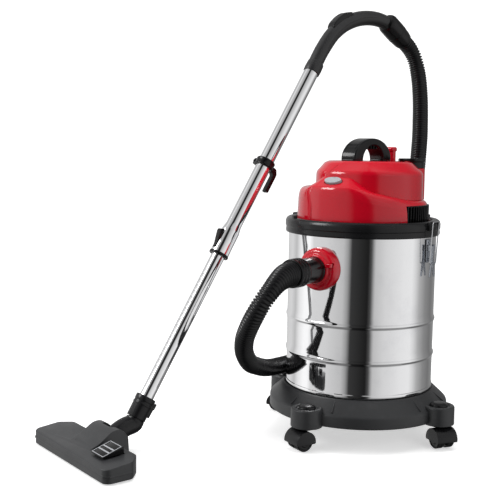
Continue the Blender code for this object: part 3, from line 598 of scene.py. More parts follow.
def turned(name: str, profile: Sequence[Point], place: Matrix, segments: int = 96, closed: bool = True) -> Object:
    """Turns a (radius, height) profile about local Z.

    Args:
        name: the object's name.
        profile: the points, down the outer side first.
        place: where the body goes.
        segments: faces round the body.
        closed: whether the profile's last point joins the first.

    Returns:
        The turned body.
    """
    line = [(r, 0.0, z) for r, z in profile]
    obj = drawn_line(name, line + line[:1] if closed else line)
    bpy.ops.mesh.select_all(action="SELECT")
    bpy.ops.mesh.remove_doubles(threshold=0.000004)
    bpy.ops.mesh.spin(steps=segments, angle=math.tau, center=(0, 0, 0), axis=(0, 0, 1))
    tidy_shell()
    leave()
    return settle(obj, place)


def plate(name: str, outline: Sequence[Point], thickness: float, place: Matrix, bevel: float = 0.0,
          steps: int = 3) -> Object:
    """Makes a flat outline of some thickness, centred on its own plane.

    Args:
        name: the object's name.
        outline: the corners in local XY.
        thickness: how thick it is.
        place: where it goes.
        bevel: how far its edges are rounded.
        steps: the stretches of each rounding.

    Returns:
        The plate.
    """
    line = [(x, y, -thickness / 2) for x, y in outline]
    obj = drawn_line(name, line + line[:1])
    bpy.ops.mesh.select_all(action="SELECT")
    bpy.ops.mesh.remove_doubles(threshold=0.000004)
    bpy.ops.mesh.edge_face_add()
    bpy.ops.mesh.extrude_region_move(TRANSFORM_OT_translate={"value": (0, 0, thickness)})
    tidy_shell()
    leave()
    settle(obj, place)
    return bevelled(obj, bevel, steps) if bevel else obj


def box(name: str, size: Sequence[float], place: Matrix, bevel: float = 0.0, steps: int = 3) -> Object:
    """Makes a block with rounded edges.

    Args:
        name: the object's name.
        size: its three sides.
        place: where its middle goes.
        bevel: how far its edges are rounded.
        steps: the stretches of each rounding.

    Returns:
        The block.
    """
    x, y, z = (s / 2 for s in size)
    return plate(name, [(-x, -y), (x, -y), (x, y), (-x, y)], 2 * z, place, bevel, steps)


def rod(name: str, radius: float, length: float, place: Matrix, sides: int = 32, bevel: float = 0.0) -> Object:
    """Makes a round bar along local Z, centred on its place.

    Args:
        name: the object's name.
        radius: its radius.
        length: its length.
        place: where its middle goes.
        sides: faces round it.
        bevel: how far its rims are rounded.

    Returns:
        The bar.
    """
    profile = [(0, length / 2), (radius, length / 2), (radius, -length / 2), (0, -length / 2)]
    return turned(name, rounded(profile, bevel) if bevel else profile, place, sides, closed=False)


def apply_all(obj: Object) -> Object:
    """Applies every modifier of an object in order."""
    pick(obj)
    for modifier in list(obj.modifiers):
        bpy.ops.object.modifier_apply(modifier=modifier.name)
    return obj


def bevelled(obj: Object, width: float, steps: int = 3, angle: float = 30.0) -> Object:
    """Rounds an object's sharp edges.

    Args:
        obj: the object.
        width: how far.
        steps: the stretches of each rounding.
        angle: the least angle in degrees that counts as sharp.

    Returns:
        The object.
    """
    modifier = obj.modifiers.new("rounding", "BEVEL")
    modifier.width, modifier.segments = width, steps
    modifier.limit_method, modifier.angle_limit = "ANGLE", math.radians(angle)
    return apply_all(obj)


def combined(obj: Object, others: Sequence[Object], operation: str = "DIFFERENCE") -> Object:
    """Cuts others out of an object, or adds them on, and removes them.

    Args:
        obj: the object that stays.
        others: the cutters or additions.
        operation: a Boolean modifier's operation.

    Returns:
        The object.
    """
    for other in others:
        modifier = obj.modifiers.new("cut", "BOOLEAN")
        modifier.operation, modifier.object, modifier.solver = operation, other, "EXACT"
        apply_all(obj)
        bpy.data.objects.remove(other, do_unlink=True)
    return obj


def merged(name: str, parts: Sequence[Object]) -> Object:
    """Joins parts into one piece without a Boolean.

    Args:
        name: the piece's name.
        parts: the parts.

    Returns:
        The piece.
    """
    pick(*parts)
    bpy.ops.object.join()
    obj = bpy.context.object
    obj.name = obj.data.name = name
    return obj


def bar(name: str, points: Sequence[Vector], radius: float, place: Matrix, sides: int = 5, cyclic: bool = False,
        radii: Sequence[float] | None = None) -> Object:
    """Makes a round bar along points, as a mesh.

    Args:
        name: the object's name.
        points: the line of its middle.
        radius: its radius.
        place: where it goes.
        sides: the curve's bevel resolution.
        cyclic: whether it closes on itself.
        radii: factors on the radius at each point.

    Returns:
        The bar.
    """
    deselect()
    bpy.ops.curve.primitive_nurbs_path_add()
    obj = bpy.context.object
    curve = obj.data
    curve.splines.clear()
    spline = curve.splines.new("POLY")
    spline.points.add(len(points) - 1)
    for i, (knot, point) in enumerate(zip(spline.points, points)):
        knot.co = (*point, 1.0)
        knot.radius = radii[i] if radii else 1.0
    spline.use_cyclic_u = cyclic
    curve.bevel_depth, curve.bevel_resolution = radius, sides
    curve.use_fill_caps, curve.resolution_u = not cyclic, 1
    curve.dimensions, curve.twist_mode = "3D", "MINIMUM"
    bpy.ops.object.convert(target="MESH")
    obj = bpy.context.object
    obj.name = obj.data.name = name
    edit()
    tidy_shell()
    leave()
    return settle(obj, place)


def dress(obj: Object, body: str, finish: str, replaces: Sequence[str] = (), smooth: float = 35.0) -> Object:
    """Gives a piece its finish, its shading and its body.

    Args:
        obj: the piece.
        body: the CAD body it rides on.
        finish: the finish's name.
        replaces: the CAD nodes it stands for.
        smooth: the greatest angle in degrees that is shaded smooth.

    Returns:
        The piece.
    """
    pick(obj)
    bpy.ops.object.shade_smooth_by_angle(angle=math.radians(smooth))
    obj.data.materials.clear()
    obj.data.materials.append(SHELF.take(finish))
    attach(obj, body)
    if replaces:
        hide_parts(*replaces)
    log.info("made %s", obj.name)
    return obj


def paint_node(node: str, finish: str) -> None:
    """Gives a CAD node that stays its finish."""
    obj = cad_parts[node]
    obj.data.materials.clear()
    obj.data.materials.append(SHELF.take(finish))


# ---------------------------------------------------------------- camera and stage
@dataclass
class Studio:
    """The camera, the pale floor and the soft lights."""

    eye: tuple[float, float, float] = (1.0625, -1.7683, 0.6409)
    forward: tuple[float, float, float] = (-0.61217, 0.78253, -0.11355)
    roll: float = 0.0157
    lens: float = 65.46

    def set_camera(self) -> None:
        """Stands the camera in front of the machine, a little above the drum."""
        forward = Vector(self.forward).normalized()
        level = Vector((-forward.y, forward.x, 0)).normalized() * -1
        upright = level.cross(forward)
        right = level * math.cos(self.roll) + upright * math.sin(self.roll)
        above = upright * math.cos(self.roll) - level * math.sin(self.roll)
        lens = bpy.data.cameras.new("camera")
        lens.lens, lens.sensor_width = self.lens, 36.0
        camera = bpy.data.objects.new("camera", lens)
        bpy.context.scene.collection.objects.link(camera)
        camera.matrix_world = at(about_drum(*self.eye), Matrix((right, above, -forward)).transposed().to_4x4())
        bpy.context.scene.camera = camera

    def set_floor(self) -> None:
        """Lays a pale round floor that glows a little, so that it is as white as the backdrop."""
        deselect()
        bpy.ops.mesh.primitive_circle_add(vertices=96, radius=1.25, fill_type="NGON", location=(-0.15, -0.1, -0.0004))
        floor = bpy.context.object
        floor.name = "floor"
        g = Graph("pale_floor")
        tone = g.noise(g.place(), 3.0, 2.0)
        g.feed(Base_Color=g.blend(tone, (0.86, 0.86, 0.86), (0.88, 0.88, 0.88)), Roughness=0.8,
               Emission_Color=g.blend(tone, (0.98, 0.98, 0.98), (1.0, 1.0, 1.0)))
        g.shader.inputs["Emission Strength"].default_value = 0.52
        floor.data.materials.append(g.material)
        floor.visible_glossy = floor.visible_diffuse = False

    def set_lights(self) -> None:
        """Hangs large soft lights round the object and a white sky with a few dark flags."""
        for name, place, size, power in (("key", (-2.0, -2.4, 2.6), 1.5, 74.0), ("fill", (3.0, -0.9, 1.9), 1.2, 16.0),
                                         ("top", (0.1, 0.5, 3.0), 2.4, 46.0)):
            lamp = bpy.data.lights.new(name, "AREA")
            lamp.size, lamp.energy = size, power
            light = bpy.data.objects.new(name, lamp)
            bpy.context.scene.collection.objects.link(light)
            light.matrix_world = at(place, aim(Vector(place) - Vector((0, 0, 0.35))))
            light.visible_glossy = name == "key"
        world = bpy.data.worlds.new("studio")
        world.use_nodes = True
        bpy.context.scene.world = world
        tree = world.node_tree
        where = tree.nodes.new("ShaderNodeTexCoord")
        split = tree.nodes.new("ShaderNodeSeparateXYZ")
        tree.links.new(where.outputs["Generated"], split.inputs[0])
        angle = tree.nodes.new("ShaderNodeMath")
        angle.operation = "ARCTAN2"
        tree.links.new(split.outputs[1], angle.inputs[0])
        tree.links.new(split.outputs[0], angle.inputs[1])
        turn = tree.nodes.new("ShaderNodeMapRange")
        turn.inputs[1].default_value, turn.inputs[2].default_value = -math.pi, math.pi
        tree.links.new(angle.outputs[0], turn.inputs[0])
        ramp = tree.nodes.new("ShaderNodeValToRGB")
        stops = self.sky_stops()
        while len(ramp.color_ramp.elements) < len(stops):
            ramp.color_ramp.elements.new(0.5)
        for element, (position, tone) in zip(ramp.color_ramp.elements, stops):
            element.position, element.color = position, (tone, tone, tone, 1.0)
        tree.links.new(turn.outputs[0], ramp.inputs[0])
        path = tree.nodes.new("ShaderNodeLightPath")
        height = tree.nodes.new("ShaderNodeMapRange")
        height.inputs[1].default_value, height.inputs[2].default_value = -1.0, 1.0
        tree.links.new(split.outputs[2], height.inputs[0])
        shade = tree.nodes.new("ShaderNodeValToRGB")
        levels = ((0.0, 0.30), (0.20, 0.35), (0.27, 0.80), (0.32, 1.0), (0.62, 1.0), (0.78, 0.80))
        while len(shade.color_ramp.elements) < len(levels):
            shade.color_ramp.elements.new(0.5)
        for element, (position, tone) in zip(shade.color_ramp.elements, levels):
            element.position, element.color = position, (tone, tone, tone, 1.0)
        tree.links.new(height.outputs[0], shade.inputs[0])
        both = tree.nodes.new("ShaderNodeMix")
        both.data_type, both.blend_type = "RGBA", "MULTIPLY"
        both.inputs[0].default_value = 1.0
        tree.links.new(ramp.outputs[0], both.inputs[6])
        tree.links.new(shade.outputs[0], both.inputs[7])
        seen = tree.nodes.new("ShaderNodeMix")
        seen.data_type = "RGBA"
        tree.links.new(path.outputs["Is Camera Ray"], seen.inputs[0])
        tree.links.new(both.outputs[2], seen.inputs[6])
        seen.inputs[7].default_value = (1.0, 1.0, 1.0, 1.0)
        tree.links.new(seen.outputs[2], tree.nodes["Background"].inputs["Color"])
        tree.nodes["Background"].inputs["Strength"].default_value = 1.25

    @staticmethod
    def sky_stops() -> list[tuple[float, float]]:
        """Gives the sky's tones by heading, from -180 to 180 degrees as 0 to 1."""
        tones = ((-180, 0.42), (-168, 0.66), (-155, 0.80), (-146, 0.80), (-138, 0.55), (-112, 0.52), (-96, 0.46),
                 (-86, 0.42), (-79, 0.26), (-73, 0.03), (-48, 0.01), (-43, 0.06), (-37, 0.42),
                 (-20, 0.54), (10, 0.64),
                 (26, 0.66), (34, 0.54), (44, 0.34), (60, 0.20), (80, 0.14), (110, 0.24), (140, 0.50), (165, 0.55),
                 (180, 0.42))
        return [((heading + 180.0) / 360.0, tone) for heading, tone in tones]


# ---------------------------------------------------------------- hose
@dataclass
class Hose:
    """The corrugated hose from the grip down behind the drum and round to the inlet."""

    radius: float = 0.0198
    valley: float = 0.76
    pitch: float = 0.0066
    flare: float = 0.34
    flare_length: float = 0.085
    route: tuple[tuple[float, float, float], ...] = (
        (-0.0840, 0.3168, 0.9089), (-0.0790, 0.3360, 0.8950), (-0.0720, 0.3500, 0.8730), (-0.0640, 0.3550, 0.8430),
        (-0.0540, 0.3500, 0.8050), (-0.0430, 0.3380, 0.7580), (-0.0330, 0.3220, 0.7140), (-0.0220, 0.3020, 0.6710),
        (-0.0110, 0.2770, 0.6230), (0.0000, 0.2500, 0.5650), (0.0100, 0.2300, 0.5000), (0.0180, 0.2190, 0.4300),
        (0.0200, 0.2120, 0.3600), (0.0150, 0.2070, 0.2930), (0.0010, 0.2040, 0.2310), (-0.0270, 0.1990, 0.1770),
        (-0.0720, 0.1830, 0.1380), (-0.1190, 0.1510, 0.1200), (-0.1560, 0.1110, 0.1165), (-0.1810, 0.0600, 0.1170),
        (-0.1915, 0.0120, 0.1190), (-0.1840, -0.0500, 0.1240), (-0.1650, -0.1090, 0.1330),
        (-0.1430, -0.1670, 0.1460), (-0.1240, -0.2220, 0.1630), (-0.1050, -0.2720, 0.1830),
        (-0.0830, -0.3180, 0.2170), (-0.0590, -0.3480, 0.2510), (-0.0360, -0.3650, 0.2800),
        (-0.0150, -0.3720, 0.3100), (-0.0010, -0.3660, 0.3370), (0.0060, -0.3500, 0.3580),
        (0.0060, -0.3270, 0.3730), (0.0030, -0.3000, 0.3815), (0.0000, -0.2742, 0.3840))

    def build(self) -> None:
        per_rib = 4
        ribs = round(path_length(smooth_path(self.route, 0.01)) / self.pitch)
        line = smooth_path([DRUM_AXIS + Vector(p) for p in self.route], self.pitch / per_rib)
        wave = (self.valley, 0.95, 1.0, 0.95)
        length = path_length(line)
        radii, done = [], 0.0
        for i, point in enumerate(line):
            done += (point - line[i - 1]).length if i else 0.0
            near = max(0.0, 1.0 - (length - done) / self.flare_length)
            radii.append(wave[i % per_rib] * (1.0 + self.flare * near * near * (3 - 2 * near)))
        hose = bar("hose_ribbed", line, self.radius, Matrix.Identity(4), 9, radii=radii)
        dress(hose, "machine", "hose_black", ["hose"], 180.0)
        2 * self.radius
        log.info("the hose has about %d ribs over %.3f m", ribs, length)


# ---------------------------------------------------------------- dolly and castors
SIDE_NAMES = ("front", "right", "rear", "left")
HEADINGS = (250.0, 330.0, 110.0, 200.0)
CASTOR_CIRCLE = 0.205


def compass(i: int) -> Vector:
    """Gives the unit vector of side i: front, right, rear, left."""
    return Vector(((0, -1), (1, 0), (0, 1), (-1, 0))[i]).to_3d()


@dataclass
class Dolly:
    """The moulded ring under the drum, with a boss over each castor."""

    radius: float = 0.201
    seat: float = 0.1076
    skirt_foot: float = 0.0535
    boss_radius: float = 0.034

    def ring(self) -> Object:
        """Turns the ring: seat, sloping deck and skirt."""
        outer = [(0.125, self.seat), (0.1672, self.seat), (0.1688, 0.1086), (0.1704, 0.1060), (0.1960, 0.0830),
                 (self.radius, 0.0778), (self.radius, self.skirt_foot), (0.1972, self.skirt_foot)]
        inner = [(0.1964, 0.0768), (0.1670, 0.1018), (0.125, 0.1018)]
        return turned("dolly_ring", rounded(outer + inner, 0.0025, 3, True), at(DRUM_AXIS), 144)

    def boss(self, i: int) -> Object:
        """Makes the round boss over castor i, with its dished top."""
        rim = self.boss_radius
        profile = [(0.0, 0.0905), (0.0085, 0.0905), (0.0100, 0.0892), (0.0100, 0.0868), (0.0225, 0.0868),
                   (0.0250, 0.0905), (0.0315, 0.0905), (rim, 0.0880), (rim + 0.0004, 0.0500), (rim - 0.0030, 0.0500),
                   (rim - 0.0034, 0.0800), (0.0, 0.0800)]
        return turned("boss", rounded(profile, 0.0016, 3), at(DRUM_AXIS + compass(i) * CASTOR_CIRCLE), 64, False)

    def build(self) -> None:
        """Makes the dolly with its ribs between the bosses."""
        parts = [self.ring()] + [self.boss(i) for i in range(4)]
        for i in range(4):
            for lean in (-1, 1):
                angle = math.atan2(compass(i).y, compass(i).x) + lean * math.radians(15.5)
                out = Vector((math.cos(angle), math.sin(angle), 0))
                parts.append(box("deck_rib", (0.034, 0.0030, 0.0085),
                                 at(DRUM_AXIS + out * 0.1815 + Vector((0, 0, 0.0925)), aim_flat(angle, 0.62)), 0.001))
        dress(merged("dolly_moulding", parts), "machine", "graphite_grain", ["dolly_base"])
        dome = [(0.0, 0.0962), (0.0110, 0.0958), (0.0165, 0.0940), (0.0192, 0.0905), (0.0196, 0.0862), (0.0, 0.0862)]
        caps = [turned("cap", rounded(dome, 0.0020, 3), at(DRUM_AXIS + compass(i) * CASTOR_CIRCLE), 48, False)
                for i in range(4)]
        dress(merged("boss_caps", caps), "machine", "rim_black")


def aim_flat(angle: float, slope: float) -> Matrix:
    """Gives the turn of a bar that points outwards at an angle and slopes down."""
    return Matrix.Rotation(angle, 4, "Z") @ Matrix.Rotation(slope, 4, "Y")


@dataclass
class Castor:
    """A hooded twin-wheel castor under one boss."""

    index: int
    wheel: float = 0.020
    trail: float = 0.016
    hood_radius: float = 0.0245
    width: float = 0.049

    def frame(self) -> tuple[Vector, Matrix]:
        """Gives the axle's place and the frame with z along the axle."""
        heading = math.radians(HEADINGS[self.index])
        back = Vector((math.cos(heading), math.sin(heading), 0.0))
        across = Vector((-back.y, back.x, 0.0))
        axle = DRUM_AXIS + compass(self.index) * CASTOR_CIRCLE + back * self.trail + Vector((0, 0, self.wheel))
        return axle, Matrix((back, Vector((0, 0, 1)), across)).transposed().to_4x4()

    def hood(self) -> Object:
        """Makes the hood: a rounded dome with two wheel wells and a web between."""
        axle, turn = self.frame()
        name = SIDE_NAMES[self.index]
        outline = rounded(arc((0, 0), self.hood_radius, -10, 190, 20), 0.002, 1, True)
        hood = plate("hood", outline, self.width, at(axle, turn), 0.0045, 4)
        across = turn.to_3x3() @ Vector((0, 0, 1))
        cutters = []
        for sign in (-1, 1):
            middle = axle + across * sign * 0.0125
            cutters.append(rod("well", 0.0213, 0.0186, at(middle, turn), 48))
            cutters.append(box("mouth", (0.0422, 0.030, 0.0186), at(middle - Vector((0, 0, 0.0150)), turn)))
        combined(hood, cutters)
        stem = DRUM_AXIS + compass(self.index) * CASTOR_CIRCLE
        neck = turned("neck", rounded([(0, 0.0780), (0.0056, 0.0780), (0.0056, 0.0505), (0.0128, 0.0500),
                                       (0.0140, 0.0430), (0, 0.0380)], 0.001), at(stem), 40, False)
        return dress(merged("castor_hood_moulding_" + name, [hood, neck]), "castor_" + name, "rim_black",
                     ["castor_hood_" + name])

    def wheels(self) -> Object:
        """Makes the twin wheel with its tyre grooves and dished hub caps."""
        axle, turn = self.frame()
        name = SIDE_NAMES[self.index]
        r = self.wheel
        half = [(0, 0.0192), (0.0050, 0.0192), (0.0062, 0.0206), (0.0090, 0.0208), (0.0105, 0.0190), (0.0145, 0.0190),
                (0.0160, 0.0208), (0.0180, 0.0208), (r, 0.0186), (r, 0.0128), (r - 0.0010, 0.0122),
                (r - 0.0010, 0.0114), (r, 0.0108), (r, 0.0052), (r - 0.0010, 0.0042), (0.0026, 0.0042)]
        profile = half + [(radius, -z) for radius, z in reversed(half)]
        wheels = turned("castor_twin_wheel_" + name, rounded(profile, 0.0006, 2), at(axle, turn), 64, False)
        return dress(wheels, "wheels_" + name, "black_satin", ["castor_wheels_" + name])

    def build(self) -> None:
        """Makes the hood and the wheels."""
        self.hood()
        self.wheels()


# ---------------------------------------------------------------- drum and inlet
@dataclass
class Drum:
    """The rolled steel drum with its beads, foot lip and rim."""

    foot: float = 0.108
    wall: float = 0.0015
    beads: tuple[float, ...] = (0.265, 0.187)
    bead_out: float = 0.0019

    def profile(self) -> list[Point]:
        """Gives the drum's section from the rim down the outside and up the inside."""
        r = DRUM_RADIUS
        outer = [(r - 0.0012, DRUM_TOP), (r - 0.0002, DRUM_TOP - 0.0012)]
        for z in self.beads:
            for k in range(21):
                off = 0.0170 * (1 - k / 10)
                broad = math.cos(math.pi * off / 0.0340) ** 2
                sharp = math.cos(math.pi * off / 0.0130) ** 2 if abs(off) < 0.0065 else 0.0
                outer.append((r + 0.0008 * broad + self.bead_out * sharp, z + off))
        outer += [(r, self.foot + 0.0100), (r + 0.0012, self.foot + 0.0088), (r + 0.0014, self.foot + 0.0050),
                  (r + 0.0004, self.foot + 0.0018), (r - 0.0025, self.foot), (0, self.foot)]
        inner = [(0, self.foot + self.wall), (r - 0.006, self.foot + self.wall),
                 (r - self.wall - 0.001, self.foot + 0.0065), (r - self.wall - 0.001, DRUM_TOP)]
        return outer + inner

    def build(self) -> None:
        """Turns the drum and cuts the inlet's hole."""
        drum = turned("drum_shell", self.profile(), at(DRUM_AXIS), 192)
        hole = rod("hole", 0.0264, 0.04, at(about_drum(0, -0.16, INLET_HEIGHT), aim((0, -1, 0))), 64)
        combined(drum, [hole])
        dress(drum, "machine", "drum_steel", ["drum"], 32.0)


@dataclass
class Inlet:
    """The red inlet flange with its release tab, and the hose cuff that turns in it."""

    radius: float = 0.046
    bore: float = 0.026
    cuff: float = 0.027

    def frame(self) -> Matrix:
        """Gives the frame whose z points out of the inlet."""
        return at(about_drum(0, 0, INLET_HEIGHT), aim((0, -1, 0)))

    def flange(self) -> Object:
        """Makes the domed flange with its collar, seated on the drum."""
        r = self.radius
        profile = [(self.bore, 0.1895), (0.0300, 0.1900), (0.0315, 0.1885), (0.0330, 0.1858), (0.0395, 0.1846),
                   (0.0440, 0.1815), (r, 0.1760), (r, 0.1540), (self.bore, 0.1540)]
        flange = turned("flange", rounded(profile, 0.0016, 3, True), self.frame(), 96)
        pocket = about_drum(0.0365, -0.1850, INLET_HEIGHT + 0.012)
        combined(flange, [rod("seat", DRUM_RADIUS + 0.0003, 0.14, at(about_drum(0, 0, INLET_HEIGHT)), 192),
                          box("pocket", (0.0120, 0.0130, 0.0100), at(pocket))])
        return dress(flange, "machine", "glossy_red", ["inlet_flange"])

    def tab(self) -> Object:
        """Makes the release tab with two grip lines."""
        pocket = about_drum(0.0365, -0.1850, INLET_HEIGHT + 0.012)
        tab = box("tab", (0.0108, 0.0092, 0.0088), at(pocket + Vector((0, -0.0037, 0))), 0.0012)
        for z in (-0.0018, 0.0018):
            combined(tab, [box("line", (0.007, 0.002, 0.0010), at(pocket + Vector((0, -0.0087, z))))])
        tab.name = tab.data.name = "release_tab_moulding"
        return dress(tab, "release_tab", "glossy_red", ["inlet_release_tab"])

    def swivel_cuff(self) -> Object:
        """Makes the cuff: a smooth sleeve, then a stepped collar over the hose."""
        c = self.cuff
        profile = [(0.0190, 0.2742), (0.0288, 0.2742), (0.0298, 0.2730), (0.0302, 0.2660), (0.0290, 0.2635),
                   (0.0304, 0.2610), (0.0304, 0.2560), (0.0290, 0.2535), (0.0304, 0.2510), (0.0304, 0.2450),
                   (0.0290, 0.2425), (c + 0.0004, 0.2400), (c, 0.1930), (c + 0.0008, 0.1915), (c + 0.0008, 0.1898),
                   (self.bore - 0.0004, 0.1896), (self.bore - 0.0004, 0.1720), (0.0205, 0.1720), (0.0190, 0.2000)]
        cuff = turned("inlet_swivel_cuff", rounded(profile, 0.0008, 2, True), self.frame(), 72)
        return dress(cuff, "inlet_cuff", "black_satin", ["inlet_cuff"])

    def build(self) -> None:
        """Makes the flange, the tab and the cuff."""
        self.flange()
        self.tab()
        self.swivel_cuff()


# ---------------------------------------------------------------- latches
@dataclass
class Latch:
    """A wire-bail latch on one side of the drum."""

    side: Side
    lever_pin: tuple[float, float, float] = (0.1735, 0.0, 0.4300)
    bail_pin: tuple[float, float, float] = (0.1775, 0.0, 0.3960)
    bail_top: tuple[float, float, float] = (0.1822, 0.0, 0.4862)
    wire: float = 0.0013
    half: float = 0.0142

    def turn(self) -> Matrix:
        """Gives the matrix that brings right-hand points to this side."""
        return at(DRUM_AXIS, Matrix.Rotation(0.0 if self.side is Side.RIGHT else math.pi, 4, "Z"))

    def name(self) -> str:
        """Gives the side's name."""
        return self.side.name.lower()

    def bracket(self) -> Object:
        """Makes the riveted plate with its two ears and the lever's pin."""
        turn = self.turn()
        parts = [box("plate", (0.0020, 0.0200, 0.0500), turn @ at((0.1668, 0, 0.4230)), 0.0006)]
        for y in (-0.0088, 0.0088):
            parts.append(box("ear", (0.0105, 0.0018, 0.0130), turn @ at((0.1722, y, self.lever_pin[2])), 0.0006))
        parts.append(rod("pin", 0.0014, 0.0200, turn @ at(self.lever_pin, UPRIGHT), 20, 0.0003))
        for z in (0.4040, 0.4420):
            parts.append(rod("rivet", 0.0028, 0.0030, turn @ at((0.1680, 0, z), LYING), 24, 0.0009))
        return dress(merged("latch_plate_" + self.name(), parts), "machine", "latch_zinc",
                     ["latch_bracket_" + self.name()])

    def lever(self) -> Object:
        """Makes the pressed lever that forks into two feet, with a knuckle at each pin."""
        turn = self.turn()
        leg = [(-0.0066, 0.4344), (-0.0066, 0.4060), (-0.0078, 0.3960), (-0.0132, 0.3700), (-0.0128, 0.3672),
               (-0.0075, 0.3672), (-0.0060, 0.3690), (0.0, 0.3890)]
        outline = leg + [(-y, z) for y, z in reversed(leg[:-1])]
        blade = plate("blade", rounded(outline, 0.0016, 3, True),
                      0.0018, turn @ at((0.1764, 0, 0)) @ SIDE_ON, 0.0005, 2)
        ridge = plate("ridge", rounded([(-0.0030, 0.4240), (0.0030, 0.4240), (0.0038, 0.4020), (-0.0038, 0.4020)],
                                       0.001, 2, True), 0.0016, turn @ at((0.1776, 0, 0)) @ SIDE_ON, 0.0006, 2)
        knuckles = [rod("knuckle", 0.0030, 0.0134, turn @ at(self.lever_pin, UPRIGHT), 28, 0.0005),
                    rod("knuckle", 0.0030, 0.0150, turn @ at(self.bail_pin, UPRIGHT), 28, 0.0005)]
        return dress(merged("latch_toggle_" + self.name(), [blade, ridge] + knuckles), "latch_lever_" + self.name(),
                     "latch_zinc", ["latch_lever_" + self.name()])

    def bail(self) -> Object:
        """Makes the closed wire loop from the lever up over the catch."""
        low, high = Vector(self.bail_pin), Vector(self.bail_top)
        corner, steps = 0.0045, 5
        ends = ((low, -self.half), (high, -self.half), (high, self.half), (low, self.half))
        points = []
        for i, (end, y) in enumerate(ends):
            here = Vector((end.x, y, end.z))
            before, after = ends[i - 1], ends[(i + 1) % 4]
            a = (Vector((before[0].x, before[1], before[0].z)) - here).normalized() * corner
            b = (Vector((after[0].x, after[1], after[0].z)) - here).normalized() * corner
            points += [here + a * (1 - k / steps) ** 2 + b * (k / steps) ** 2 for k in range(steps + 1)]
        loop = bar("latch_wire_" + self.name(), points, self.wire, self.turn(), 4, True)
        return dress(loop, "latch_bail_" + self.name(), "bright_wire", ["latch_bail_" + self.name()], 60.0)

    def build(self) -> None:
        """Makes the three pieces."""
        self.bracket()
        self.lever()
        self.bail()


# ---------------------------------------------------------------- motor head
def heading_of(point: Vector) -> float:
    """Gives a point's heading about the drum's axis: 0 at the front, 90 degrees at the right."""
    return math.degrees(math.atan2(point.x - DRUM_AXIS.x, -(point.y - DRUM_AXIS.y)))


def ease(value: float, low: float, high: float) -> float:
    """Gives a smooth step from 0 at low to 1 at high."""
    t = min(1.0, max(0.0, (value - low) / (high - low)))
    return t * t * (3 - 2 * t)


@dataclass
class Lid:
    """The rim ring that closes the drum, with the two latch catches and the gasket."""

    rim: float = 0.1730

    def build(self) -> None:
        """Turns the ring and adds the catches and the two small ears."""
        under = DRUM_TOP + 0.0040
        ring = [(0.0620, 0.4700), (0.1510, 0.4700), (0.1530, 0.4835), (0.1560, 0.4853), (0.1665, 0.4855),
                (0.1708, 0.4825), (self.rim, 0.4765), (0.1728, 0.4660), (0.1712, 0.4650), (0.1722, 0.4560),
                (0.1714, 0.4520), (0.1668, 0.4520), (0.1662, under), (0.0620, under)]
        parts = [turned("ring", rounded(ring, 0.0016, 3, True), at(DRUM_AXIS), 160)]
        catch = rounded([(0.170, 0.4872), (0.1766, 0.4872), (0.1790, 0.4860), (0.1812, 0.4805), (0.1812, 0.4680),
                         (0.170, 0.4680)], 0.0012, 2, True)
        for sign in (0.0, math.pi):
            turn = Matrix.Rotation(sign, 4, "Z") @ UPRIGHT
            parts.append(plate("catch", catch, 0.024, at(DRUM_AXIS, turn), 0.0008, 2))
            for y in (-0.0160, 0.0160):
                parts.append(box("cheek", (0.0100, 0.0030, 0.0190),
                                 at(DRUM_AXIS, Matrix.Rotation(sign, 4, "Z")) @ at((0.1755, y, 0.4770)), 0.0010))
        for heading in (-34.0, 146.0):
            turn = Matrix.Rotation(math.radians(heading - 90), 4, "Z")
            parts.append(box("ear", (0.0080, 0.0150, 0.0080), at(DRUM_AXIS, turn) @ at((0.1640, 0, 0.4872)), 0.0015))
        dress(merged("lid_moulding", parts), "motor_head", "rim_black", ["lid_ring"])
        paint_node("lid_gasket", "black_rubber")


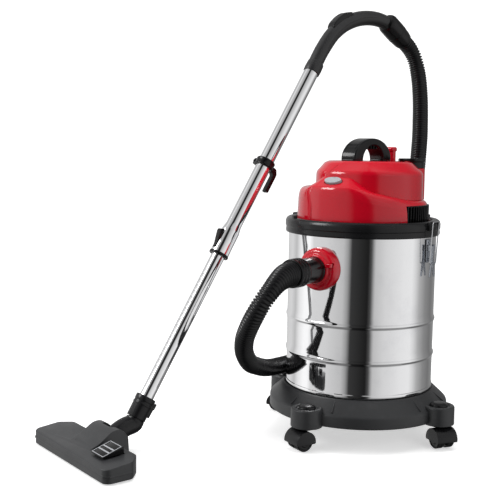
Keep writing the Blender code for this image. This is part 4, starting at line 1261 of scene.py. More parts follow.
@dataclass
class Housing:
    """The lower red housing: a shoulder that falls away to the right, the switch console and the vent window."""

    radius: float = 0.147
    base: float = 0.4704
    shoulder: float = 0.5555
    fall: float = 0.0250
    panel_heading: float = -18.0

    def drop(self, point: Vector) -> float:
        """Gives how far a point of the shoulder sinks at its heading."""
        heading = heading_of(point)
        out = math.hypot(point.x - DRUM_AXIS.x, point.y - DRUM_AXIS.y)
        return self.fall * self.sweep(heading) * ease(out, 0.1085, 0.1130) * ease(point.z, 0.498, 0.530)

    @staticmethod
    def sweep(heading: float) -> float:
        """Gives how far round the shoulder has fallen at a heading, from 0 to 1."""
        return ease(heading, 12.0, 92.0) * (1.0 - ease(heading, 130.0, 172.0))

    def rise(self, point: Vector) -> float:
        """Gives how far the shoulder rises at the front, where it carries the switch."""
        heading = heading_of(point)
        out = max(0.1100, math.hypot(point.x - DRUM_AXIS.x, point.y - DRUM_AXIS.y))
        here = ease(heading, -40.0, -17.0) * (1.0 - ease(heading, 14.0, 44.0)) * ease(point.z, 0.5200, 0.5500)
        return here * max(0.0, 0.5602 + (0.1372 - out) * math.tan(math.radians(35)) - point.z)

    def shell(self) -> Object:
        """Turns the shell, raises its shoulder under the switch and lowers it on the right."""
        outer = [(0.1052, self.shoulder), (0.1080, 0.5552), (0.1135, 0.5547), (0.1190, 0.5544), (0.1240, 0.5542),
                 (0.1290, 0.5540), (0.1345, 0.5526), (0.1385, 0.5500), (0.1420, 0.5450), (0.1440, 0.5380),
                 (0.1452, 0.5300), (0.1460, 0.5100), (self.radius, 0.4900), (self.radius, self.base)]
        inner = [(0.1442, self.base), (0.1432, 0.5100), (0.1424, 0.5190), (0.1404, 0.5205), (0.1362, 0.5210),
                 (0.1280, 0.5210), (0.1120, 0.5210), (0.1052, 0.5210)]
        shell = turned("housing_shell", rounded(outer + inner, 0.0018, 3, True), at(DRUM_AXIS), 240)
        for vertex in shell.data.vertices:
            vertex.co.z += self.rise(vertex.co) - self.drop(vertex.co)
        return shell

    def build(self) -> None:
        """Makes the housing with its cuts, and the switch in its pocket."""
        shell = self.shell()
        slope = Matrix.Rotation(math.radians(35), 4, "X")
        centre = about_drum(0, -0.1252, 0.5690)
        oval = [(0.0228 * math.cos(a), 0.0118 * math.sin(a)) for a in (math.tau * i / 64 for i in range(64))]
        cutters = [plate("pocket", oval, 0.0100, at(centre, slope)),
                   box("window", (0.16, 0.145, 0.0400), at(about_drum(0.16, 0.025, 0.4990)), 0.0)]
        for heading in (self.panel_heading, 196.0):
            turn = Matrix.Rotation(math.radians(heading - 90), 4, "Z")
            cutters.append(box("seam", (0.0050, 0.0016, 0.0740),
                               at(DRUM_AXIS, turn) @ at((0.1480, 0, 0.5080))))
        combined(shell, cutters)
        shell.name = shell.data.name = "housing_lower_shell"
        dress(shell, "motor_head", "glossy_red", ["motor_housing"], 40.0)
        self.switch(centre, slope)

    @staticmethod
    def switch(centre: Vector, slope: Matrix) -> None:
        """Makes the oval rocker with its rim, its dip and its two generic marks."""
        oval = [(0.0205 * math.cos(a), 0.0102 * math.sin(a)) for a in (math.tau * i / 64 for i in range(64))]
        rocker = plate("rocker", oval, 0.0072, at(centre + Vector((0, -0.0006, 0.0010)), slope), 0.0014, 4)
        dip = rod("dip", 0.050, 0.0180,
                  at(centre + Vector((0, -0.0006, 0.0010)), slope) @ at((0, 0, 0.0528), UPRIGHT), 96)
        combined(rocker, [dip])
        marks = [box("mark", (0.0012, 0.0060, 0.0006), at(centre + Vector((0, -0.0006, 0.0010)), slope)
                     @ at((-0.0120, 0, 0.0034)), 0.0002, 1),
                 turned("mark", [(0.0030, 0.0003), (0.0022, 0.0003), (0.0022, -0.0003), (0.0030, -0.0003)],
                        at(centre + Vector((0, -0.0006, 0.0010)), slope) @ at((0.0120, 0, 0.0034)), 32)]
        dress(merged("switch_rocker", [rocker] + marks), "power_switch", "silver_paint", ["power_switch"])


@dataclass
class Cover:
    """The upper red cover with its chamfered crown, and the visor that sweeps round its right side."""

    radius: float = 0.1074
    stand: float = 0.0052
    bulge: float = 0.17
    slant: tuple[tuple[float, float], ...] = ((-0.0680, 0.5400), (0.0150, 0.6236), (0.2000, 0.6236), (0.2000, 0.5000),
                                              (-0.0680, 0.5000))
    groove: tuple[float, float, float] = (0.20, 0.0026, 0.0300)
    groove_shift: float = 0.0016
    groove_front: float = -0.1060

    def visor(self) -> Object:
        """Turns the visor's band and cuts its slanting front end."""
        r, t = self.radius, self.stand
        outer = [(r + t + 0.0004, 0.5180), (r + t, 0.5560), (r + t - 0.0006, 0.5845), (0.1042 + t, 0.5905),
                 (0.0880 + t * 0.6, 0.6092), (0.0850, 0.6122)]
        inner = [(0.0850, 0.6090), (0.1000, 0.5890), (0.1040, 0.5562), (0.1040, 0.5180)]
        band = turned("visor", rounded(outer, 0.0030, 4) + rounded(inner, 0.0010, 2), at(DRUM_AXIS), 192)
        keep = plate("keep", self.slant, 0.1500, at(about_drum(0, -0.0750, 0), UPRIGHT))
        combined(keep, [box("keep_back", (0.20, 0.1400, 0.1200), at(about_drum(0.1200, 0.0650, 0.5600)))], "UNION")
        combined(band, [keep], "INTERSECT")
        lower = Housing()
        for vertex in band.data.vertices:
            co = vertex.co
            if co.z < 0.5300:
                co.z = lower.shoulder - 0.0012 - lower.fall * lower.sweep(heading_of(co))
            wide = self.bulge * ease(heading_of(co), -5.0, 118.0)
            co.x += (co.x - DRUM_AXIS.x) * wide
            co.y += (co.y - DRUM_AXIS.y) * wide
        return bevelled(band, 0.0009, 3, 40.0)

    def build(self) -> None:
        """Turns the cover, cuts a groove beside the visor's slanting end and adds the visor."""
        outer = [(0.0, HEAD_TOP), (0.0780, HEAD_TOP), (0.0880, 0.6080), (0.0960, 0.5985), (0.1042, 0.5895),
                 (0.1062, 0.5840), (0.1066, 0.5760), (self.radius, 0.5562)]
        inner = [(0.1040, 0.5562), (0.1032, 0.5820), (0.1016, 0.5870), (0.0865, 0.6040), (0.0780, 0.6085),
                 (0.0, 0.6085)]
        profile = rounded(outer, 0.0026, 3) + rounded(inner, 0.0020, 2)
        cover = turned("cover_shell", profile, at(DRUM_AXIS), 192, True)
        low, high = self.slant[0], self.slant[1]
        middle = ((low[0] + high[0]) / 2 - self.groove_shift, (low[1] + high[1]) / 2 + self.groove_shift)
        lean = math.atan2(high[1] - low[1], high[0] - low[0])
        slit = box("slit", self.groove, at(about_drum(middle[0], self.groove_front, middle[1]),
                                           UPRIGHT @ Matrix.Rotation(lean, 4, "Z")))
        combined(cover, [slit])
        cover.name = cover.data.name = "cover_shell"
        dress(merged("cover_shell", [cover, self.visor()]), "motor_head", "glossy_red", ["housing_cover"], 40.0)


@dataclass
class Grille:
    """The black grille of upright slats in the vent window."""

    radius: float = 0.1425
    low: float = 0.4800
    high: float = 0.5180
    first: float = 72.0
    last: float = 128.0
    slats: int = 17

    def build(self) -> None:
        """Makes the backing, the slats and the two rails along them."""
        turn_at = [self.first + (self.last - self.first) * i / (self.slats - 1) for i in range(self.slats)]
        parts = []
        for heading in turn_at:
            turn = Matrix.Rotation(math.radians(heading - 90), 4, "Z")
            parts.append(box("slat", (0.0060, 0.0026, self.high - self.low),
                             at(DRUM_AXIS, turn) @
                             at((self.radius + 0.0010, 0, (self.high + self.low) / 2)), 0.0006, 1))
        arcs = [math.radians(h - 90) for h in turn_at]
        for z in (self.low + 0.0015, self.high - 0.0015):
            line = [about_drum(self.radius * math.cos(a), self.radius * math.sin(a), z) for a in arcs]
            parts.append(bar("rail", line, 0.0022, Matrix.Identity(4), 2))
        back = turned("back", [(0.1385, self.high), (0.1385, self.low), (0.1370, self.low), (0.1370, self.high)],
                      at(DRUM_AXIS), 160)
        keep = box("keep", (0.30, 0.144, 0.2), at(about_drum(0.15, 0.025, 0.5)))
        parts.append(combined(back, [keep], "INTERSECT"))
        dress(merged("vent_slats", parts), "motor_head", "black_satin", ["vent_grille"])


@dataclass
class HeadFittings:
    """The carry handle, the blower port with its collar, the cord hook and the gland."""

    half: float = 0.078
    leg: float = 0.034
    width: float = 0.038
    back: float = 0.010
    port: tuple[float, float] = (0.0611, 0.1099)

    def handle(self) -> None:
        """Makes the arched handle with its ribs underneath, two grooves along its top and a foot under each end."""
        top = HEAD_TOP + 0.0004
        outer = [(x * self.half, top + 0.004 + y * 0.046) for x, y in arc((0, 0), 1.0, 180, 0, 32)]
        inner = [(x * (self.half - self.leg), top + y * 0.034) for x, y in arc((0, 0), 1.0, 0, 180, 24)]
        outline = [(-self.half, top), *outer, (self.half, top), *inner]
        arch = plate("arch", outline, self.width, at(about_drum(0, self.back, 0), SIDE_ON), 0.0060, 5)
        grooves = []
        for sign in (-1, 1):
            line = [about_drum(sign * 0.0120, self.back + x * self.half * 0.985, top + 0.0040 + y * 0.0462)
                    for x, y in arc((0, 0), 1.0, 168, 12, 30)]
            grooves.append(bar("groove", line, 0.0009, Matrix.Identity(4), 2))
        combined(arch, grooves)
        ribs = [box("rib", (0.0300, 0.0022, 0.0100), at(about_drum(0, self.back + y, top + 0.0305)), 0.0006, 1)
                for y in (-0.018, -0.006, 0.006, 0.018)]
        feet = [plate("foot", rounded([(-0.0185, -0.0190), (0.0185, -0.0190), (0.0185, 0.0190), (-0.0185, 0.0190)],
                                      0.006, 4, True), 0.0030,
                                      at(about_drum(0, self.back + sign * 0.0605, top + 0.0012)), 0.0010, 2)
                for sign in (-1, 1)]
        dress(merged("handle_arch", [arch] + ribs + feet), "motor_head", "black_satin", ["carry_handle"])

    def blower(self) -> None:
        """Makes the red tower and its black collar."""
        centre = about_drum(*self.port, 0)
        tower = [(0.0230, 0.5965), (0.0278, 0.5965), (0.0292, 0.5950), (0.0300, 0.5920), (0.0305, 0.5250),
                 (0.0230, 0.5250)]
        port = turned("tower", rounded(tower, 0.0020, 3, True), at(centre), 96)
        combined(port, [rod("clear", 0.1076, 0.10, at(about_drum(0, 0, 0.57)), 160)])
        web = box("web", (0.0500, 0.0560, 0.0560), at(about_drum(0.0500, 0.0870, 0.5560),
                                                        Matrix.Rotation(math.radians(30), 4, "Z")), 0.0040, 3)
        combined(web, [rod("clear", 0.1020, 0.10, at(about_drum(0, 0, 0.57)), 96)])
        dress(merged("blower_tower", [port, web]), "motor_head", "glossy_red", ["blower_port"])
        collar = [(0.0225, 0.6184), (0.0300, 0.6184), (0.0312, 0.6172), (0.0312, 0.6120), (0.0285, 0.6105),
                  (0.0280, 0.6060), (0.0286, 0.5969), (0.0225, 0.5969)]
        ring = turned("blower_ring", rounded(collar, 0.0008, 2, True), at(centre), 96)
        flap = rod("flap", 0.0224, 0.0020, at(centre + Vector((0, 0, 0.6000))), 64, 0.0004)
        cross = [box("cross", (0.0440, 0.0022, 0.0040), at(centre + Vector((0, 0, 0.6020)),
                                                         Matrix.Rotation(a, 4, "Z")), 0.0005, 1)
                 for a in (0.0, math.pi / 2)]
        dress(merged("blower_mouth_ring", [ring, flap] + cross), "motor_head", "black_satin", ["blower_collar"])

    def hook_and_gland(self) -> None:
        """Makes the red cord hook behind the handle and the cord's gland."""
        post = box("post", (0.0215, 0.0150, 0.0880), at(about_drum(0, 0.1198, 0.6000)), 0.0050, 5)
        knob = box("knob", (0.0225, 0.0225, 0.0110), at(about_drum(0, 0.1195, 0.6385)), 0.0042, 5)
        collar = box("collar", (0.0222, 0.0222, 0.0090), at(about_drum(0, 0.1198, 0.5740)), 0.0030, 3)
        dress(merged("hook_post", [post, knob, collar]), "motor_head", "glossy_red", ["cord_hook"])
        away = math.radians(215)
        out = Vector((math.sin(away), -math.cos(away), 0))
        profile = [(0.0040, 0.1690), (0.0054, 0.1690), (0.0060, 0.1640), (0.0052, 0.1625), (0.0066, 0.1605),
                   (0.0058, 0.1590), (0.0074, 0.1565), (0.0066, 0.1550), (0.0082, 0.1520), (0.0076, 0.1505),
                   (0.0110, 0.1495), (0.0110, 0.1475), (0.0040, 0.1475)]
        gland = turned("gland_boot", rounded(profile, 0.0005, 2, True), at(about_drum(0, 0, 0.5000), aim(out)), 40)
        dress(gland, "motor_head", "black_satin", ["cord_gland"])

    def build(self) -> None:
        """Makes all of them."""
        self.handle()
        self.blower()
        self.hook_and_gland()


@dataclass
class Inside:
    """What shows under the head once it is lifted: the pleated filter, the float cage, the ball and the spout."""

    pleats: int = 72

    def build(self) -> None:
        """Makes the filter, and paints the nodes that stay, the float cage among them."""
        ring = []
        for i in range(self.pleats * 2):
            angle = math.tau * i / (self.pleats * 2)
            r = 0.0648 if i % 2 else 0.0595
            ring.append((r * math.cos(angle), r * math.sin(angle)))
        paper = plate("paper", ring, 0.1060, at(about_drum(0, 0, 0.4025)))
        caps = [turned("cap",
                       rounded([(0.0530, h + t), (0.0662, h + t), (0.0662, h - t), (0.0530, h - t)], 0.0008, 2, True),
                       at(DRUM_AXIS), 96) for h, t in ((0.4565, 0.0024), (0.3485, 0.0024))]
        combined(paper, [rod("bore", 0.0545, 0.2, at(about_drum(0, 0, 0.40)), 96)])
        dress(merged("filter_cartridge", [paper] + caps), "motor_head", "filter_paper", ["filter"], 25.0)
        for node, finish in (("motor", "motor_iron"), ("fan", "silver_paint"), ("float_cage", "black_satin"),
                             ("float_ball", "float_white"), ("inlet_deflector", "black_satin")):
            paint_node(node, finish)


# ---------------------------------------------------------------- wand and grip
@dataclass
class Wand:
    """The telescopic chrome wand: upper tube, flared sleeve, seal ring, lock button, lower tube and clip."""

    radius: float = 0.0175
    bore: float = 0.0165
    sleeve_low: float = 0.354
    sleeve_high: float = 0.424
    notch_pitch: float = 0.0140

    def upper(self) -> None:
        """Turns the upper tube with its flared sleeve and window."""
        low, high = self.sleeve_low, self.sleeve_high
        outer = [(self.radius, WAND_LENGTH), (self.radius, high + 0.0040), (self.radius + 0.0006, high - 0.0010),
                 (0.0200, high - 0.0110), (0.0206, high - 0.0140), (0.0208, low + 0.020), (0.0212, low + 0.0100),
                 (0.0214, low)]
        inner = [(0.0168, low), (self.bore, low + 0.002), (self.bore, WAND_LENGTH)]
        tube = turned("upper_tube", outer + inner, wand_frame(), 96)
        window = box("window", (0.0132, 0.020, 0.046), wand_frame() @ at((0, 0.024, 0.382)))
        combined(tube, [window])
        dress(tube, "machine", "tube_chrome", ["wand_upper"], 30.0)

    def seal(self) -> None:
        """Turns the black seal ring below the sleeve."""
        low = self.sleeve_low - 0.0004
        profile = [(0.0166, low), (0.0222, low), (0.0226, low - 0.0024), (0.0218, low - 0.0058),
                   (0.0166, low - 0.0058)]
        dress(turned("seal_collar", rounded(profile, 0.0008, 2, True), wand_frame(), 72), "machine", "black_satin",
              ["wand_seal_ring"])

    def button(self) -> None:
        """Makes the wedge-shaped lock button with grip lines."""
        outline = [(-0.0200, 0.0185), (0.0140, 0.0185), (0.0200, 0.0185), (0.0200, 0.0285), (0.0140, 0.0298),
                   (-0.0190, 0.0200)]
        wedge = plate("wedge", rounded(outline, 0.0014, 3, True), 0.0118, wand_frame() @ at((0, 0, 0.382)) @ UP_WAND,
                      0.0012, 3)
        lines = [box("line", (0.0090, 0.0030, 0.0012),
                     wand_frame() @ at((0, 0.0305 - 0.0012 * k, 0.3920 - 0.0040 * k)))
                 for k in range(4)]
        combined(wedge, lines)
        wedge.name = wedge.data.name = "lock_wedge"
        dress(wedge, "lock_button", "black_satin", ["lock_button"])

    def lower(self) -> None:
        """Turns the lower tube and presses its ratchet notches."""
        profile = [(0.0144, 0.470), (0.0155, 0.470), (0.0155, 0.002), (0.0144, 0.002)]
        tube = turned("lower_tube", profile, wand_frame(), 80)
        notches = []
        count = round(0.240 / self.notch_pitch)
        for i in range(count):
            notches.append(rod("notch", 0.0048, 0.0120,
                               wand_frame() @ at((0, 0.0193, 0.072 + self.notch_pitch * i), LYING), 24))
        combined(tube, [merged("notches", notches)])
        dress(tube, "lower_wand", "tube_chrome", ["wand_lower"], 30.0)

    def clip(self) -> None:
        """Makes the clip ring with its clamp ear and the hook that hangs from it."""
        r = self.radius + 0.0004
        band = [(r, 0.0088), (0.0212, 0.0088), (0.0226, 0.0066), (0.0218, 0.0030), (0.0218, -0.0030),
                (0.0226, -0.0066),
                (0.0212, -0.0088), (r, -0.0088)]
        place = wand_frame() @ at((0, 0, 0.587))
        ring = turned("band", rounded(band, 0.0010, 2, True), place, 72)
        hook = [(0.0050, -0.0205), (0.0050, -0.0320), (-0.0060, -0.0398), (-0.0520, -0.0398), (-0.0535, -0.0380),
                (-0.0535, -0.0330), (-0.0520, -0.0312), (-0.0120, -0.0312), (-0.0070, -0.0250), (-0.0070, -0.0205)]
        arm = plate("arm", rounded(hook, 0.0024, 3, True), 0.0130, place @ UP_WAND, 0.0018, 3)
        ear = box("ear", (0.0110, 0.0130, 0.0150), place @ at((0.0215, 0.0080, 0)), 0.0026, 3)
        bolt = rod("bolt", 0.0034, 0.0030, place @ at((0.0215, 0.0150, 0), UPRIGHT), 6, 0.0004)
        dress(merged("clip_and_hook", [ring, arm, ear, bolt]), "machine", "black_satin", ["wand_clip"])

    def build(self) -> None:
        """Makes all of the wand's pieces."""
        self.upper()
        self.seal()
        self.button()
        self.lower()
        self.clip()


@dataclass
class Grip:
    """The bent grip at the wand's top, its air slider and the cuff of the hose."""

    radius: float = 0.0172
    route: tuple[tuple[float, float], ...] = (
        (0.0000, 0.8130), (0.0175, 0.8425), (0.0345, 0.8690), (0.0610, 0.9020), (0.0870, 0.9235), (0.1120, 0.9375),
        (0.1420, 0.9485), (0.1730, 0.9546), (0.2050, 0.9560), (0.2330, 0.9525), (0.2560, 0.9455))

    @staticmethod
    def point(distance: float, height: float, across: float = 0.0) -> Vector:
        """Gives a point from its distance past the wand's top, its height and its offset to the side."""
        plan = plan_direction()
        top = WAND_FOOT + plan * math.cos(WAND_PITCH) * WAND_LENGTH
        return top + plan * distance + Vector((plan.y, -plan.x, 0)) * across + Vector((0, 0, height - top.z))

    def grip(self) -> None:
        """Makes the bent tube, a little thicker where the hand holds it."""
        line = smooth_path([self.point(*p) for p in self.route], 0.004)
        count = len(line) - 1
        radii = [1.0 + 0.05 * math.sin(math.pi * min(1.0, i / count * 1.1)) for i in range(count + 1)]
        tube = bar("tube", line, self.radius, Matrix.Identity(4), 14, radii=radii)
        above = wand_frame() @ at((0, 0, WAND_LENGTH + 0.0004 - 0.04))
        combined(tube, [rod("trim", 0.03, 0.08, above, 48)])
        collar = turned("collar", rounded([(0.0158, WAND_LENGTH + 0.0004), (0.0196, WAND_LENGTH + 0.0004),
                                           (0.0202, WAND_LENGTH + 0.0120), (0.0194, WAND_LENGTH + 0.0280),
                                           (0.0158, WAND_LENGTH + 0.0300)][::-1], 0.0012, 3, True), wand_frame(), 72)
        seams = []
        for sign in (-1, 1):
            seam = smooth_path([self.point(d, h, sign * self.radius * 1.035) for d, h in self.route[2:-1]], 0.006)
            seams.append(bar("seam", seam, 0.0006, Matrix.Identity(4), 2))
        combined(tube, seams)
        dress(merged("grip_moulding", [tube, collar]), "machine", "grip_satin", ["bent_grip"])

    def slider(self) -> None:
        """Makes the ribbed air slider that sits on the outside of the bend."""
        seat = self.point(0.0975, 0.9295)
        along = (self.point(0.1200, 0.9410) - self.point(0.0760, 0.9150)).normalized()
        across = Vector((math.cos(WAND_YAW), math.sin(WAND_YAW), 0))
        turn = Matrix((along, across.cross(along), across)).transposed().to_4x4()
        shape = [(-0.0370, 0.0150), (-0.0270, 0.0215), (-0.0060, 0.0262), (0.0150, 0.0262), (0.0340, 0.0190),
                 (0.0360, 0.0150), (0.0340, 0.0100), (-0.0360, 0.0100)]
        saddle = plate("saddle", rounded(shape, 0.004, 3, True), 0.0240, at(seat, turn), 0.0030, 4)
        lines = [box("line", (0.0012, 0.0030, 0.0180), at(seat, turn) @ at((0.0045 + 0.0034 * (k - 2), 0.0268, 0)))
                 for k in range(5)]
        combined(saddle, lines)
        saddle.name = saddle.data.name = "air_slider"
        dress(saddle, "suction_slider", "black_satin", ["suction_slider"])

    def cuff(self) -> None:
        """Makes the flared cuff between the grip and the hose."""
        end = self.point(*self.route[-1])
        start = DRUM_AXIS + Vector(Hose.route[0])
        length = (start - end).length
        profile = [(0.0, length), (0.0205, length), (0.0218, length - 0.0020), (0.0236, length - 0.0110),
                   (0.0246, 0.0420), (0.0256, 0.0330), (0.0246, 0.0305), (0.0256, 0.0280), (0.0254, -0.0040),
                   (0.0236, -0.0100), (0.0200, -0.0150), (0.0, -0.0150)]
        cuff = turned("hose_cuff_grip", rounded(profile, 0.0014, 3), at(end, aim(start - end)), 72, False)
        dress(cuff, "machine", "black_satin", ["grip_cuff"])

    def build(self) -> None:
        """Makes the three pieces."""
        self.grip()
        self.slider()
        self.cuff()


# ---------------------------------------------------------------- floor head
@dataclass
class FloorHead:
    """The floor head: shell, sole plate, brushes, rollers, pedal, elbow and tube socket."""

    half: float = 0.158
    tilt_pin: tuple[float, float, float] = (0.0, -0.0890, 0.0330)

    def shell(self) -> None:
        """Makes the low cover with cut corners, its bumper line and the hump over the elbow."""
        w = self.half
        outline = [(-w + 0.010, -0.1840), (w - 0.010, -0.1840), (w, -0.1740), (w, -0.1240), (w - 0.026, -0.1000),
                   (-w + 0.026, -0.1000), (-w, -0.1240), (-w, -0.1740)]
        place = head_frame()
        shell = plate("cover", rounded(outline, 0.006, 4, True), 0.0395, place @ at((0, 0, 0.02275)))
        slope = place @ at((0, -0.1460, 0.0500), Matrix.Rotation(math.radians(6.0), 4, "X"))
        front = place @ at((0, -0.1900, 0.0400), Matrix.Rotation(math.radians(32.0), 4, "X"))
        combined(shell, [box("slope", (0.4, 0.16, 0.03), slope), box("front", (0.4, 0.030, 0.020), front)])
        bevelled(shell, 0.0018, 4, 12.0)
        hump = [(-0.1620, 0.0250), (-0.1600, 0.0320), (-0.1320, 0.0430), (-0.1080, 0.0600), (-0.0980, 0.0638),
                (-0.0860, 0.0638), (-0.0760, 0.0585), (-0.0660, 0.0450), (-0.0640, 0.0120), (-0.1000, 0.0120)]
        crest = plate("hump", rounded(hump, 0.005, 4, True), 0.084, place @ SIDE_ON, 0.0060, 5)
        combined(shell, [crest], "UNION")
        pin = place @ at(self.tilt_pin)
        inside = [(-w + 0.012, -0.1770), (w - 0.012, -0.1770), (w - 0.006, -0.1710), (w - 0.006, -0.1290),
                  (w - 0.026, -0.1110), (-w + 0.026, -0.1110), (-w + 0.006, -0.1290), (-w + 0.006, -0.1710)]
        cutters = [plate("hollow", inside, 0.0220, place @ at((0, 0, 0.0110))),
                   rod("seat", 0.0215, 0.0640, pin @ LYING, 64),
                   box("passage", (0.0400, 0.066, 0.090),
                       place @ at((0, self.tilt_pin[1] + 0.028, 0.0560)), 0.004, 3),
                   box("air", (0.0300, 0.040, 0.016), place @ at((0, -0.1080, 0.0140))),
                   box("pocket", (0.0500, 0.0520, 0.0120), place @ at((0.0860, -0.1390, 0.0400)), 0.002, 2)]
        for x in (-0.030, 0.030):
            cutters.append(box("line", (0.0012, 0.030, 0.020), place @ at((x, -0.1420, 0.0520), Matrix.Rotation(
                math.radians(32.0), 4, "X"))))
        combined(shell, cutters)
        bumper = place @ at((0, 0, 0.0168))
        lip_outline = [(-w + 0.0095, -0.1845), (w - 0.0095, -0.1845), (w + 0.0004, -0.1740), (w + 0.0004, -0.1240),
                       (w + 0.0002, -0.1220), (w - 0.0020, -0.1220), (w - 0.0020, -0.1735), (w - 0.0105, -0.1820),
                       (-w + 0.0105, -0.1820), (-w + 0.0020, -0.1735), (-w + 0.0020, -0.1220),
                       (-w - 0.0002, -0.1220), (-w - 0.0004, -0.1240), (-w - 0.0004, -0.1740)]
        lip = plate("bumper", lip_outline, 0.0050, bumper, 0.0009, 2)
        dress(merged("floor_head_cover", [shell, lip]), "floor_head", "graphite_grain", ["floor_head_shell"], 32.0)

    def sole(self) -> None:
        """Makes the metal sole with its mouth, slots and rolled edges."""
        place = head_frame()
        w = self.half
        outline = [(-w + 0.0128, -0.1764), (w - 0.0128, -0.1764), (w - 0.0066, -0.1706), (w - 0.0066, -0.1292),
                   (w - 0.0262, -0.1116), (-w + 0.0262, -0.1116), (-w + 0.0066, -0.1292), (-w + 0.0066, -0.1706)]
        sole = plate("sole", outline, 0.0036, place @ at((0, 0, 0.0042)), 0.0010, 3)
        cutters = [box("mouth", (0.190, 0.0130, 0.012), place @ at((0, -0.1500, 0.0040)), 0.003, 3)]
        cutters += [box("slot", (0.268, 0.0058, 0.012), place @ at((0, y, 0.0040))) for y in (-0.1715, -0.1270)]
        cutters += [box("slot", (0.0110, 0.0200, 0.012), place @ at((x, -0.1440, 0.0040))) for x in (-0.1440, 0.1440)]
        combined(sole, cutters)
        screws = [rod("screw", 0.0030, 0.0012, place @ at((x, -0.1400, 0.0023)), 24, 0.0003)
                  for x in (-0.12, -0.05, 0.05, 0.12)]
        dress(merged("sole_metal", [sole] + screws), "floor_head", "latch_zinc", ["sole_plate"])

    def brushes(self) -> None:
        """Makes each strip as a holder with a row of tufts."""
        for name, y in (("front", -0.1715), ("rear", -0.1270)):
            place = head_frame() @ at((0, y, 0.0098))
            parts = [box("holder", (0.262, 0.0046, 0.0050), place @ at((0, 0, 0.0030)), 0.0005, 1)]
            for i in range(64):
                x = -0.1285 + 0.257 * i / 63
                parts.append(box("tuft", (0.0031, 0.0032, 0.0062), place @ at((x, 0, -0.0024)), 0.0007, 1))
            dress(merged("brush_tufts_" + name, parts), "brush_strips", "black_rubber", ["brush_" + name])

    def rollers(self) -> None:
        """Makes the two small rollers with a tread groove."""
        for name, x in (("left", -0.1440), ("right", 0.1440)):
            profile = [(0, 0.0046), (0.0030, 0.0046), (0.0036, 0.0040), (0.0066, 0.0040), (0.0072, 0.0046),
                       (0.0080, 0.0036), (0.0080, 0.0008), (0.0074, 0.0), (0.0080, -0.0008), (0.0080, -0.0036),
                       (0.0072, -0.0046), (0.0066, -0.0040), (0.0036, -0.0040), (0.0030, -0.0046), (0, -0.0046)]
            roller = turned("tread_roller_" + name, profile,
                            head_frame() @ at((x, -0.1440, 0.0082)) @ LYING, 48, False)
            dress(roller, "roller_" + name, "black_rubber", ["roller_" + name])

    def pedal(self) -> None:
        """Makes the sloping pedal with a silver frame and two silver stripes."""
        place = head_frame() @ at((0.0860, 0, 0)) @ SIDE_ON
        outline = [(-0.1632, 0.0375), (-0.1632, 0.0392), (-0.1180, 0.0532), (-0.1155, 0.0526), (-0.1150, 0.0500),
                   (-0.1150, 0.0375), (-0.1380, 0.0375)]
        pad = plate("pad", rounded(outline, 0.001, 2, True), 0.0460, place, 0.0012, 3)
        dress(pad, "pedal", "black_satin", ["pedal"])
        pad.name = pad.data.name = "pedal_pad"
        lean = math.atan2(0.0140, 0.0452)
        top = head_frame() @ at((0.0860, -0.1406, 0.0464), Matrix.Rotation(lean, 4, "X"))
        marks = [box("stripe", (0.0400, 0.0034, 0.0010), top @ at((0, y, 0.0002)), 0.0003, 1)
                 for y in (-0.0065, 0.0045)]
        for x in (-0.0216, 0.0216):
            marks.append(box("edge", (0.0017, 0.0430, 0.0010), top @ at((x, 0, 0.0002)), 0.0003, 1))
        for y in (-0.0212, 0.0212):
            marks.append(box("edge", (0.0440, 0.0017, 0.0010), top @ at((0, y, 0.0002)), 0.0003, 1))
        dress(merged("pedal_marks", marks), "pedal", "silver_paint")

    def elbow(self) -> None:
        """Makes the tilting barrel with its neck, and the socket that takes the wand."""
        pin = head_frame() @ Vector(self.tilt_pin)
        frame_up = wand_frame()
        foot = frame_up @ Vector((0, 0, -0.0500))
        barrel = rod("barrel", 0.0208, 0.0620, head_frame() @ at(self.tilt_pin) @ LYING, 96, 0.0015)
        line = smooth_path([pin, pin.lerp(foot, 0.55) + Vector((0, 0, 0.001)),
                            foot - frame_up.to_3x3() @ Vector((0, 0, 0.008)), foot], 0.003)
        count = len(line) - 1
        swell = [0.92 + 0.08 * ease(i / count, 0.0, 0.4) for i in range(count + 1)]
        neck = bar("neck", line, 0.0205, Matrix.Identity(4), 14, radii=swell)
        cuffs = [turned("cuff",
                        rounded([(0.0, z + 0.0040), (0.0196, z + 0.0040), (0.0196, z - 0.0040), (0.0, z - 0.0040)],
                                        0.0010, 2), frame_up, 72, False) for z in (-0.0505,)]
        spigot = turned("spigot", [(0, -0.0220), (0.0156, -0.0220), (0.0156, -0.0560), (0, -0.0560)],
                        frame_up, 48, False)
        dress(merged("elbow_moulding", [barrel, neck, spigot] + cuffs), "elbow", "rim_black",
              ["floor_head_elbow"])

    def socket(self) -> None:
        """Makes the tube socket with its grip rings, and the parking hook on it."""
        frame_up = wand_frame()
        profile = [(0.0160, 0.0044), (0.0208, 0.0044), (0.0220, 0.0030), (0.0220, -0.0060), (0.0212, -0.0072),
                   (0.0212, -0.0110), (0.0219, -0.0122), (0.0219, -0.0150), (0.0211, -0.0162), (0.0209, -0.0440),
                   (0.0200, -0.0452), (0.0160, -0.0452)]
        dress(turned("tube_socket", rounded(profile, 0.0008, 2, True), frame_up, 72), "lower_wand", "rim_black",
              ["wand_socket"])
        outline = [(-0.0020, -0.0205), (0.0000, -0.0285), (-0.0030, -0.0295), (-0.0120, -0.0290), (-0.0160, -0.0268),
                   (-0.0340, -0.0262), (-0.0345, -0.0205)]
        hook = plate("parking_tongue", rounded(outline, 0.0014, 3, True), 0.0140, frame_up @ UP_WAND, 0.0014, 3)
        dress(hook, "lower_wand", "black_satin", ["parking_hook"])

    def build(self) -> None:
        """Makes all of the floor head's pieces."""
        self.shell()
        self.sole()
        self.brushes()
        self.rollers()
        self.pedal()
        self.elbow()
        self.socket()


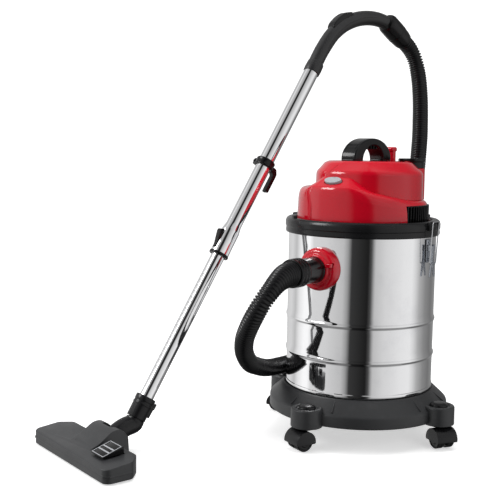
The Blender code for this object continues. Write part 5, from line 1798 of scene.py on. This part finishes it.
# ---------------------------------------------------------------- making
def main() -> None:
    """Builds everything in order."""
    bpy.context.scene.view_settings.view_transform = "Standard"
    studio = Studio()
    studio.set_camera()
    studio.set_floor()
    studio.set_lights()
    Hose().build()
    Dolly().build()
    for i in range(4):
        Castor(i).build()
    for part in (Drum(), Inlet(), Latch(Side.RIGHT), Latch(Side.LEFT), Lid(), Housing(), Cover(), Grille(),
                 HeadFittings(), Inside(), Wand(), Grip(), FloorHead()):
        part.build()
        log.info("%s is done", type(part).__name__)


if __name__ == "__main__":
    main()
